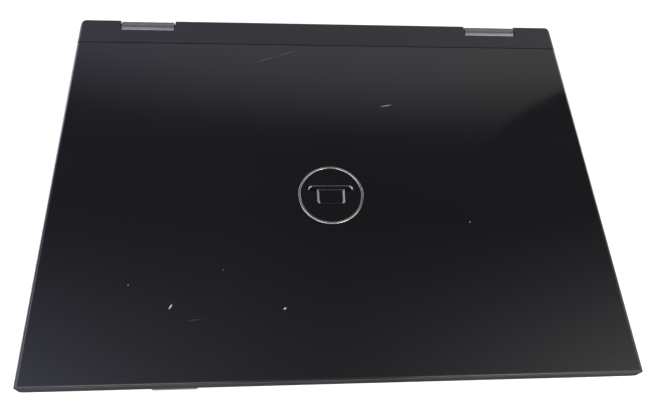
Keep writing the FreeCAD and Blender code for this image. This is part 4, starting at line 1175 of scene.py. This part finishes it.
# ---- keyboard ----
@dataclass
class Keyboard:
    """Keycaps that lean in to dished tops, with printed legends."""

    skirt: float = 0.7
    taper: float = 1.9
    corner: float = 0.9
    rim: float = 0.35
    dish: float = 0.2
    dish_margin: float = 1.1
    wall: float = 1.0
    hollow: float = 1.2
    letter: float = 3.3
    sign: float = 2.5
    word: float = 2.1
    ink: float = 0.04
    homing: Triple = (3.2, 0.5, 0.2)
    homing_keys: tuple[int, int] = (4, 7)

    # legends of each row from the left; a line break parts the shifted sign from the plain one
    legends: tuple[tuple[str, tuple[str, ...]], ...] = (
        ("keys_function_row", ("Esc", *(f"F{n}" for n in range(1, 13)), "Prt", "Ins", "Del",
                               "End")),
        ("keys_number_row", ("~\n`", "!\n1", "@\n2", "#\n3", "$\n4", "%\n5", "^\n6", "&\n7",
                             "*\n8", "(\n9", ")\n0", "_\n-", "+\n=", "Backspace")),
        ("keys_upper_row", ("Tab", *"QWERTYUIOP", "{\n[", "}\n]", "|\n\\")),
        ("keys_home_row", ("Caps", *"ASDFGHJKL", ":\n;", "\"\n'", "Enter")),
        ("keys_lower_row", ("Shift", *"ZXCVBNM", "<\n,", ">\n.", "?\n/", "Shift", "^")),
        ("keys_bottom_row", ("Ctrl", "Fn", "Sys", "Alt", "Alt", "App", "Ctrl", "<", "v", ">")),
        ("space_bar", ("",)))

    def build(self) -> None:
        """Makes the caps and the legends of each row, and the finishes beneath them."""
        for row, words in self.legends:
            rooms = solids(row)
            caps = copies_of(rooms, self.cap)
            if row == "keys_home_row":
                caps += [self.homing_bar(rooms[n]) for n in self.homing_keys]
            Piece.together(caps, f"{row}_caps").dress(KEY_ABS, row, [row])
            inks = [self.legend(word, room) for word, room in zip(words, rooms) if word]
            if inks:
                Piece.together(inks, f"{row}_legends").dress(LEGEND_INK, row, slot="keycap")
        dress_node("keyboard_backplate", ZINC)
        dress_node("key_domes", SILICONE)

    def cap(self, room: Space) -> Piece:
        """Models one hollow cap: straight skirt, leaning sides, dished top."""
        low, top = room.z
        width, depth, _ = room.size
        x, y, _ = room.middle
        cap = Piece.block("cap", room.x, room.y, (low, low + self.skirt))
        cap.extrude(faces_up, (0, 0, top - low - self.skirt))
        lean = (1 - 2 * self.taper / width, 1 - 2 * self.taper / depth, 1)
        cap.spread(faces_up, lean, (x, y, top))
        cap.bevel(lambda a, b: abs(a.z - b.z) > 0.05, self.corner, 3)
        cap.bevel(level_at(top), self.rim, 2)
        cap.inset(faces_up, self.dish_margin, -self.dish)
        cap.inset(faces_down, self.wall)
        cap.extrude(lambda c, n: faces_down(c, n) and at(c.x, x, 0.3) and at(c.y, y, 0.3),
                    (0, 0, self.hollow))
        return cap

    def homing_bar(self, room: Space) -> Piece:
        """Raised bar that the index fingers find."""
        wide, deep, high = self.homing
        x, front = room.middle.x, room.low.y + self.taper + self.dish_margin + 1.0
        floor = room.high.z - self.dish
        bar = Piece.block("homing_bar", (x - wide / 2, x + wide / 2), (front, front + deep),
                          (floor - 0.1, floor + high))
        return bar.bevel(level_at(floor + high), 0.12, 2)

    def legend(self, words: str, room: Space) -> Piece:
        """Prints a key's legend in the top left of its dish."""
        if "\n" in words:
            height = self.sign
        else:
            height = self.letter if len(words) == 1 else self.word
        margin = self.taper + self.rim + self.dish_margin
        place = (room.low.x + margin + 0.2, room.high.y - margin - height * 0.75,
                 room.high.z - self.dish + self.ink)
        return Piece.lettering("legend", words, height, place)


# ---- underside ----
@dataclass
class Underside:
    """Bottom case with its doors, feet, screws and slides."""

    body: str = "base"
    break_edge: float = 0.2
    foot_edge: float = 0.5
    foot_rim: float = 1.1
    head_height: float = 0.9
    cross_reach: float = 0.52
    cross_line: float = 0.7
    cross_sink: float = 0.5
    shank_share: float = 0.39

    def build(self) -> None:
        """Makes every piece under the computer."""
        case = Piece.moulding("bottom_case_shell", "bottom_case", CASE_ABS, self.break_edge)
        # the bottom case's front faces get the dark matt wall finish: painted shade
        case.paint(WALL_MATT_PAINTED_SHADE, faces_front)
        Piece.moulding("access_door_plates", "access_doors", CASE_ABS, self.break_edge)
        feet = copies_of(solids("rubber_feet"), self.foot)
        Piece.together(feet).dress(RUBBER, self.body, ["rubber_feet"])
        self.screws("case_screw_set", "case_screws")
        self.screws("bezel_screw_set", "bezel_screws")
        for node in ("battery_latch", "battery_lock"):
            Piece.moulding(f"{node}_slide", node, CASE_ABS, 0.15)

    def foot(self, room: Space) -> Piece:
        """Models one round foot with a raised rim."""
        foot = Piece.post("foot", room, 64)
        foot.bevel(level_at(room.low.z), self.foot_edge, 4)
        return foot.inset(faces_down, self.foot_rim, -0.25)

    def screws(self, name: str, node: str) -> None:
        """Makes a node's screws, whose heads face down."""
        made = copies_of(solids(node), self.screw)
        Piece.together(made, name).dress(SCREW_BLACK, frame_body(node), [node])

    def screw(self, room: Space) -> Piece:
        """Models one screw: rounded head with a cross recess, and its shank."""
        x, y, _ = room.middle
        radius = room.size.x / 2
        low = room.low.z
        head = Piece.rod("screw", (x, y, low), self.head_height, radius, sides=40)
        head.bevel(level_at(low), 0.3, 3)
        head.weld(Piece.rod("shank", (x, y, low + 0.6), room.size.z - 0.6,
                            radius * self.shank_share, sides=24))
        long, half = radius * self.cross_reach, self.cross_line / 2
        for reach in ((long, half), (half, long)):
            head.cut(Piece.block("cross", (x - reach[0], x + reach[0]),
                                 (y - reach[1], y + reach[1]), (low - 1, low + self.cross_sink)))
        return head


# ---- battery and drives ----
@dataclass
class BatteryPack:
    """Removable pack that fills the back of the case."""

    body: str = "battery"
    contacts: int = 8
    pitch: float = 3.2
    first_x: float = -11.3
    blade: Triple = (0.5, 3.5, 5.6)
    blade_foot: float = 9.2
    blade_sink: float = 0.4

    def build(self) -> None:
        """Makes the pack and the sprung contacts in its front."""
        Piece.moulding("battery_pack_case", "battery_pack", PACK_ABS, 0.3)
        front = Space.of("battery_pack").low.y
        wide, long, high = self.blade
        start, foot = front + self.blade_sink, self.blade_foot
        blades = [Piece.block("pack_contacts", (x - wide / 2, x + wide / 2),
                              (start, start + long), (foot, foot + high)).bevel(upright, 0.15, 2)
                  for x in (self.first_x + n * self.pitch for n in range(self.contacts))]
        Piece.together(blades).dress(GOLD, self.body, slot="battery_black")


@dataclass
class Drives:
    """Optical drive with its tray, spindle and laser sled, and the hard disk."""

    tray: str = "disc_tray"
    sled_from: float = 19.0
    sled: Triple = (15.0, 11.4, 2.2)
    sled_z: float = 8.5
    sled_rim: float = 1.2
    sled_sink: float = 0.5
    rail_y: float = 4.4
    rail_radius: float = 0.8
    rail_x: Span = (14.6, 43.5)
    rail_lift: float = 0.9
    lens: float = 2.3
    grip_radii: Span = (12.4, 9.6)
    grip_height: float = 0.15
    grip_drop: float = 1.65
    ball_reach: float = 7.0
    ball_foot: float = 11.9
    ball_height: float = 0.9
    ball_radius: float = 0.6

    def build(self) -> None:
        """Makes the moving pieces of the disc drive, and dresses the fixed ones."""
        Piece.moulding("disc_tray_shell", "optical_tray", CASE_ABS, 0.15)
        self.spindle()
        self.laser()
        Piece.moulding("eject_button_cap", "eject_button", CASE_ABS, 0.1)
        Piece.moulding("hard_disk_case", "hard_disk", ALLOY, 0.3)
        dress_node("optical_drive_case", ZINC)

    def spindle(self) -> None:
        """Turntable with a rubber grip ring and three sprung balls that hold a disc."""
        room = Space.of("disc_spindle")
        x, y, _ = room.middle
        table = Piece.cast("disc_turntable", "disc_spindle").soften(0.35, 3)
        table.dress(ZINC, "disc_spindle", ["disc_spindle"])
        foot = room.high.z - self.grip_drop
        grip = Piece.ring("turntable_grip", (x, y, foot), *self.grip_radii, self.grip_height, 96)
        grip.bevel(level_at(foot + self.grip_height), 0.05, 2)
        grip.dress(RUBBER, "disc_spindle", slot="rubber_black")
        balls = []
        for n in range(3):
            turn = math.radians(90 + 120 * n)
            place = (x + self.ball_reach * math.cos(turn), y + self.ball_reach * math.sin(turn),
                     self.ball_foot)
            ball = Piece.rod("turntable_balls", place, self.ball_height, self.ball_radius,
                             sides=16)
            balls.append(ball.bevel(level_at(self.ball_foot + self.ball_height), 0.3, 3))
        Piece.together(balls).dress(ZINC, "disc_spindle", slot="steel")

    def laser(self) -> None:
        """Sled with its lens, on two rods in the slot of the tray."""
        x, y, _ = Space.of("disc_spindle").middle
        wide, deep, high = self.sled
        start = x + self.sled_from
        top = self.sled_z + high
        sled = Piece.block("laser_sled", (start, start + wide), (y - deep / 2, y + deep / 2),
                           (self.sled_z, top))
        sled.bevel(upright, self.sled_rim, 4)
        sled.inset(faces_up, self.sled_rim, -self.sled_sink)
        sled.dress(NYLON, self.tray, slot="case_black")
        lens = Piece.rod("laser_lens", (start + wide / 2, y, top - 0.6), 0.9, self.lens, sides=48)
        lens.bevel(level_at(top + 0.3), 0.4, 4)
        lens.dress(LENS, self.tray, slot="glass_dark")
        near, far = self.rail_x
        rails = [Piece.rod("sled_rails", (x + near, y + side * self.rail_y,
                                          self.sled_z + self.rail_lift),
                           far - near, self.rail_radius, Axis.X, sides=24)
                 for side in (-1, 1)]
        for rail in rails:
            rail.bevel(lambda a, b: at(a.x, b.x), 0.15, 2)
        Piece.together(rails).dress(ZINC, self.tray, slot="steel")


# ---- sockets ----
@dataclass
class Sockets:
    """Sockets in the sides and back, with their contacts, and the small pieces beside them."""

    body: str = "base"
    usb_blades: tuple[float, ...] = (-3.5, -1.0, 1.0, 3.5)
    usb_tongue: Span = (0.3, 2.1)
    usb_blade_x: Span = (-12.0, -2.5)
    usb_inside: Span = (5.7, 1.4)
    network_blades: int = 8
    network_pitch: float = 1.02
    video_insert: Span = (8.3, 4.0)
    bore: float = 1.9
    pin: float = 0.9
    axis_z: float = 12.6

    def build(self) -> None:
        """Makes every socket and what moves beside them."""
        self.usb()
        self.network()
        self.video()
        self.round_ones()
        for node, finish in (("card_blank", BLANK_ABS), ("radio_switch", HINGE_PAINT)):
            Piece.moulding(f"{node}_moulding", node, finish, 0.2)
        dress_node("card_reader", ZINC)

    def usb(self) -> None:
        """Plated shells, black tongues and four gilt blades in each."""
        rooms = solids("usb_sockets")
        low, high = self.usb_tongue
        back, front = self.usb_blade_x
        reach, depth = self.usb_inside
        shells = Piece.moulding("usb_shells", "usb_sockets", ZINC, 0.12)
        mid_z = rooms[0].middle.z
        shells.paint(NYLON, lambda c, n: low - 0.1 < c.z - mid_z < high + 0.1 and any(
            abs(c.y - room.middle.y) < reach and c.x < room.high.x - depth for room in rooms))
        blades = []
        for room in rooms:
            for y in (room.middle.y + offset for offset in self.usb_blades):
                blade = Piece.block("usb_contacts", (room.high.x + back, room.high.x + front),
                                    (y - 0.5, y + 0.5), (mid_z + low - 0.12, mid_z + low + 0.05))
                blades.append(blade.bevel(upright, 0.2, 2))
        Piece.together(blades).dress(GOLD, self.body, slot="steel")

    def network(self) -> None:
        """Moulded mouth with eight gilt blades along its floor."""
        room = Space.of("network_socket")
        Piece.moulding("network_mouth", "network_socket", NYLON, 0.12)
        floor = room.low.z + 0.7
        start = room.middle.y - self.network_pitch * (self.network_blades - 1) / 2
        blades = [Piece.block("network_contacts", (room.low.x + 3, room.low.x + 12),
                              (y - 0.23, y + 0.23), (floor - 0.05, floor + 0.7))
                  for y in (start + n * self.network_pitch for n in range(self.network_blades))]
        for blade in blades:
            blade.bevel(level_at(floor + 0.7), 0.12, 2)
        Piece.together(blades).dress(GOLD, self.body, slot="socket_black")

    def video(self) -> None:
        """Plated flange and jack nuts round a blue insert."""
        room = Space.of("video_socket")
        wide, high = self.video_insert
        y, z = room.middle.y, self.axis_z
        socket = Piece.moulding("video_connector", "video_socket", NYLON_BLUE, 0.1)
        socket.paint(ZINC, lambda c, n: abs(c.y - y) > wide or abs(c.z - z) > high
                     or at(c.x, room.low.x + 0.1, 0.04))

    def round_ones(self) -> None:
        """Audio jacks with gilt bores, and the power inlet with its pin."""
        jacks = Piece.moulding("audio_jacks", "audio_sockets", NYLON, 0.1)
        centres = [room.middle.y for room in solids("audio_sockets")]
        jacks.paint(GOLD, lambda c, n: abs(n.x) < 0.3 and any(
            math.hypot(c.y - y, c.z - self.axis_z) < self.bore for y in centres))
        inlet = Piece.moulding("power_inlet_mouth", "power_inlet", NYLON, 0.12)
        x = Space.of("power_inlet").middle.x
        inlet.paint(ZINC, lambda c, n: math.hypot(c.x - x, c.z - self.axis_z) < self.pin)


# ---- electronics and cooling ----
@dataclass
class Electronics:
    """Boards with their chips, the processor's cooling, and the other pieces inside."""

    body: str = "base"
    board_z: Span = (7.95, 9.4)
    board_faces: tuple[tuple[str, str, float], ...] = (
        ("screen_inverter", "inverter_board", 29.25), ("wireless_card", "wireless_board", 13.25))
    capacitor: Triple = (2.0, 1.2, 1.1)
    banks: tuple[tuple[float, float], ...] = ((-76.0, -55.0), (2.0, -54.0), (100.0, 70.0))
    columns: int = 5
    rows: int = 3
    spacing: float = 4.2
    edge_contacts: int = 40
    edge_margin: float = 3.0
    edge_y: Span = (0.3, 2.8)
    edge_z: Span = (5.86, 5.95)
    chip_top: float = 5.88
    die_margin: float = 10.5
    fin_x: float = -142.1
    fin_top: float = 15.5

    def build(self) -> None:
        """Makes and dresses the pieces inside the case and the lid."""
        self.boards()
        self.processor()
        self.memory()
        self.cooling()
        Piece.moulding("speaker_boxes", "speakers", NYLON, 0.2)
        for node, finish in (("hinge_brackets", ZINC), ("lid_hinge_arms", ZINC),
                             ("screen_backlight", ALLOY), ("wireless_aerials", COPPER),
                             ("display_cable", SHEATH)):
            dress_node(node, finish)

    def boards(self) -> None:
        """Boards in green lacquer, black chips, moulded sockets and small capacitors."""
        under, top = self.board_z
        boards = Piece.moulding("board_set", "circuit_boards", BOARD)
        boards.paint(EPOXY, lambda c, n: c.z > top + 0.05)
        boards.paint(NYLON, lambda c, n: c.z < under)
        wide, deep, high = self.capacitor
        places = [(x + column * self.spacing, y + row * self.spacing) for x, y in self.banks
                  for column in range(self.columns) for row in range(self.rows)]
        x0, y0 = places[0]
        first = Piece.block("capacitors", (x0, x0 + wide), (y0, y0 + deep),
                            (top - 0.05, top + high))
        first.bevel(upright, 0.2, 2)
        rest = [first.twin("capacitor", (x - x0, y - y0, 0)) for x, y in places[1:]]
        first.join(rest).dress(CERAMIC, self.body, slot="board_green")
        for node, name, split in self.board_faces:
            board = Piece.moulding(name, node, BOARD)
            board.paint(EPOXY, lambda c, n, split=split: c.z > split)
        dress_node("camera_module", BOARD)

    def processor(self) -> None:
        """Processor on its green package, with a bare die, and the clock's round cell."""
        room = Space.of("processor")
        chip = Piece.block("processor_package", *room.spans)
        chip.bevel(upright, 1.0, 3)
        chip.inset(faces_up, self.die_margin)
        chip.dress(BOARD, self.body, ["processor"])
        x, y, _ = room.middle
        chip.paint(ALLOY, lambda c, n: faces_up(c, n) and at(c.x, x, 0.5) and at(c.y, y, 0.5))
        cell = Piece.post("clock_cell", Space.of("clock_battery"), 64)
        cell.bevel(lambda a, b: at(a.z, b.z), 0.4, 3)
        cell.inset(faces_up, 1.2, -0.15)
        cell.dress(ZINC, self.body, ["clock_battery"])

    def memory(self) -> None:
        """Two memory modules with black chips and gilt edge contacts."""
        rooms = solids("memory_modules")
        modules = Piece.moulding("memory_boards", "memory_modules", BOARD)
        modules.paint(EPOXY, lambda c, n: c.z < self.chip_top)
        near, far = self.edge_y
        blades = []
        for room in rooms:
            pitch = (room.size.x - 2 * self.edge_margin) / self.edge_contacts
            start = room.low.x + self.edge_margin
            blades += [Piece.block("memory_contacts", (x, x + pitch * 0.6),
                                   (room.low.y + near, room.low.y + far), self.edge_z)
                       for x in (start + n * pitch for n in range(self.edge_contacts))]
        Piece.together(blades).dress(GOLD, self.body, slot="board_green")

    def cooling(self) -> None:
        """Blower housing and impeller, copper plate and pipe, aluminium fins."""
        Piece.moulding("blower_housing", "fan_housing", CASE_ABS, 0.25)
        Piece.moulding("blower_wheel", "fan_impeller", NYLON, 0.12)
        sink = Piece.moulding("heat_pipe_and_fins", "heat_sink", COPPER, 0.15)
        sink.paint(ALLOY, lambda c, n: c.x < self.fin_x and c.z < self.fin_top)


# ---- studio ----
@dataclass
class Studio:
    """Pale floor, soft light and the camera. None of it belongs to the computer."""

    eye: Triple = (-32.72, -190.05, 353.60)
    turn: Triple = (28.43883, -3.90185, -2.40200)
    lens: float = 35.23
    floor_size: float = 6000.0
    # brightness of the room by how far back a direction leans, from ahead to behind the camera
    room_light: tuple[Span, ...] = (
        (-0.45, 0.35), (-0.25, 0.80), (0.05, 0.80), (0.14, 0.40), (0.20, 0.35), (0.24, 0.30),
        (0.31, 0.24), (0.38, 0.18), (0.46, 0.135), (0.54, 0.15), (0.565, 0.19), (0.582, 0.27),
        (0.60, 0.44), (0.62, 0.62), (0.64, 0.79), (0.67, 0.93), (0.75, 1.00), (0.82, 0.30),
        (0.95, 0.20))
    room_skew: float = 0.055
    room_bend: float = 0.18
    side_reach: float = 0.25
    side_full: float = 0.6
    side_gain: float = 3.2
    front_band: Span = (0.2, 0.42)
    front_gain: float = 11.0
    wall_x: Span = (0.10, -0.08)
    wall_y: Span = (0.62, 0.50)
    wall_gain: float = 0.38
    tint_x: Span = (-0.4, 0.3)
    room_tints: tuple[tuple[float, Colour], ...] = (
        (0.0, (0.89, 0.91, 1.16, 1.0)), (1.0, (1.0, 0.97, 0.99, 1.0)))
    backdrop: float = 0.97
    panel_axis: Triple = (0.4915, 0.3443, 0.7999)
    panel_cos: float = 0.9693
    panel_blur: float = 0.001
    panel_y: Span = (0.46, 0.52)
    panel_level: float = 0.14
    # name, place, width and power of each lamp
    lights: tuple[tuple[str, Triple, float, float], ...] = (
        ("key_lamp", (520, -700, 900), 400, 7.5), ("fill_lamp", (-300, -620, 800), 400, 3.6))

    def build(self) -> None:
        """Sets up floor, room light, lamp and camera."""
        scene = bpy.context.scene
        scene.view_settings.view_transform = "Standard"
        scene.view_settings.look = "None"
        self.floor()
        self.room()
        self.lamps()
        camera = bpy.data.cameras.new("camera")
        camera.lens = self.lens
        camera.sensor_width = 36.0
        camera.dof.use_dof = False
        holder = bpy.data.objects.new("camera", camera)
        holder.location = Vector(self.eye) * MM
        holder.rotation_euler = [math.radians(a) for a in self.turn]
        scene.collection.objects.link(holder)
        scene.camera = holder

    def floor(self) -> None:
        """Lays a wide matt white floor."""
        bpy.ops.object.select_all(action="DESELECT")
        bpy.ops.mesh.primitive_plane_add(size=self.floor_size * MM)
        floor = bpy.context.object
        floor.name = "floor"
        floor.data.materials.append(
            Moulded("white_floor", "f6f5e8", roughness=0.9, grain_mm=3.0, tone=0.01,
                    patch_mm=400).material())

    def room(self) -> None:
        """Lights the scene from a soft room, and shows the camera a plain pale backdrop."""
        world = bpy.data.worlds.new("room")
        world.use_nodes = True
        bpy.context.scene.world = world
        tree = world.node_tree
        way = add_node(tree, "TexCoord").outputs["Generated"]
        split = add_node(tree, "SeparateXYZ", {"Vector": way})
        x, y = split.outputs["X"], split.outputs["Y"]
        level = self.dark_panel(tree, way, y, self.depth_light(tree, x, y))
        strength = add_node(tree, "Math", {0: level, 1: self.side_light(tree, x, y)},
                            operation="MULTIPLY")
        whole = add_node(tree, "Math", {0: strength, 1: self.left_wall(tree, x, y)},
                         operation="MULTIPLY")
        tint = add_node(tree, "MapRange", {"Value": x, "From Min": self.tint_x[0],
                                           "From Max": self.tint_x[1]})
        colour = add_node(tree, "ValToRGB", {"Fac": tint}, self.room_tints)
        background = tree.nodes["Background"]
        tree.links.new(output(colour), background.inputs["Color"])
        tree.links.new(output(whole), background.inputs["Strength"])
        plain = add_node(tree, "Background", {"Color": grey(self.backdrop)})
        mixed = add_node(tree, "MixShader",
                         {0: add_node(tree, "LightPath"), 1: background, 2: plain})
        tree.links.new(output(mixed), tree.nodes["World Output"].inputs["Surface"])

    def depth_light(self, tree: Tree, x: Socket, y: Socket) -> Node:
        """Brightness that changes from front to back, a little askew and bowed."""
        low, high = self.room_light[0][0], self.room_light[-1][0]
        lean = add_node(tree, "Math", {0: x, 1: self.room_bend, 2: self.room_skew},
                        operation="MULTIPLY_ADD")
        skewed = add_node(tree, "Math", {0: x, 1: lean, 2: y}, operation="MULTIPLY_ADD")
        depth = add_node(tree, "MapRange", {"Value": skewed, "From Min": low, "From Max": high})
        stops = [((place - low) / (high - low), grey(level)) for place, level in self.room_light]
        ramp = add_node(tree, "ValToRGB", {"Fac": depth}, stops)
        return add_node(tree, "SeparateColor", {"Color": ramp})

    def dark_panel(self, tree: Tree, way: Socket, y: Socket, bright: Node) -> Node:
        """Dark round panel at the right, whose edge shows as a curve in the lid's gloss."""
        toward = add_node(tree, "VectorMath", {0: way, 1: self.panel_axis},
                          operation="DOT_PRODUCT").outputs["Value"]
        within = add_node(tree, "MapRange",
                          {"Value": toward, "From Min": self.panel_cos - self.panel_blur,
                           "From Max": self.panel_cos + self.panel_blur})
        reach = add_node(tree, "MapRange", {"Value": y, "From Min": self.panel_y[0],
                                            "From Max": self.panel_y[1]})
        inside = add_node(tree, "Math", {0: within, 1: reach}, operation="MULTIPLY")
        capped = add_node(tree, "Math", {0: bright, 1: self.panel_level}, operation="MINIMUM")
        return add_node(tree, "Mix", {0: inside, 2: bright, 3: capped})

    def side_light(self, tree: Tree, x: Socket, y: Socket) -> Node:
        """Lift of the room's sides, and of its lower front."""
        sides = add_node(tree, "Math", {0: x, 1: x}, operation="MULTIPLY")
        near, far = self.front_band
        low_front = add_node(tree, "MapRange", {"Value": y, "From Min": near, "From Max": far,
                                                "To Min": self.front_gain, "To Max": 0.0})
        reached = add_node(tree, "Math", {0: sides, 1: self.side_reach}, operation="MINIMUM")
        front_lift = add_node(tree, "Math", {0: reached, 1: low_front, 2: 1.0},
                              operation="MULTIPLY_ADD")
        side_walls = add_node(tree, "MapRange",
                              {"Value": sides, "From Min": self.side_reach,
                               "From Max": self.side_full, "To Min": 1.0,
                               "To Max": self.side_gain})
        return add_node(tree, "Math", {0: front_lift, 1: side_walls}, operation="MAXIMUM")

    def left_wall(self, tree: Tree, x: Socket, y: Socket) -> Node:
        """Lift of the pale wall that stands on the left."""
        wall = add_node(tree, "MapRange",
                        {"Value": x, "From Min": self.wall_x[0], "From Max": self.wall_x[1],
                         "To Max": self.wall_gain})
        wall_top = add_node(tree, "MapRange", {"Value": y, "From Min": self.wall_y[0],
                                               "From Max": self.wall_y[1]})
        return add_node(tree, "Math", {0: wall, 1: wall_top, 2: 1.0}, operation="MULTIPLY_ADD")

    def lamps(self) -> None:
        """Hangs a large soft lamp in front, high on the right, and a weaker one on the left."""
        for name, place, size, power in self.lights:
            lamp = bpy.data.lights.new(name, "AREA")
            lamp.shape = "DISK"
            lamp.size = size * MM
            lamp.energy = power
            holder = bpy.data.objects.new(name, lamp)
            holder.location = Vector(place) * MM
            holder.rotation_euler = (-holder.location).to_track_quat("-Z", "Y").to_euler()
            bpy.context.scene.collection.objects.link(holder)


def main() -> None:
    """Builds the computer piece by piece, then the studio."""
    Lid().build()
    HingeBarrels().build()
    Deck().build()
    Keyboard().build()
    Underside().build()
    BatteryPack().build()
    Drives().build()
    Sockets().build()
    Electronics().build()
    Studio().build()


if __name__ == "__main__":
    logging.basicConfig(level=logging.INFO, format="%(message)s")
    main()
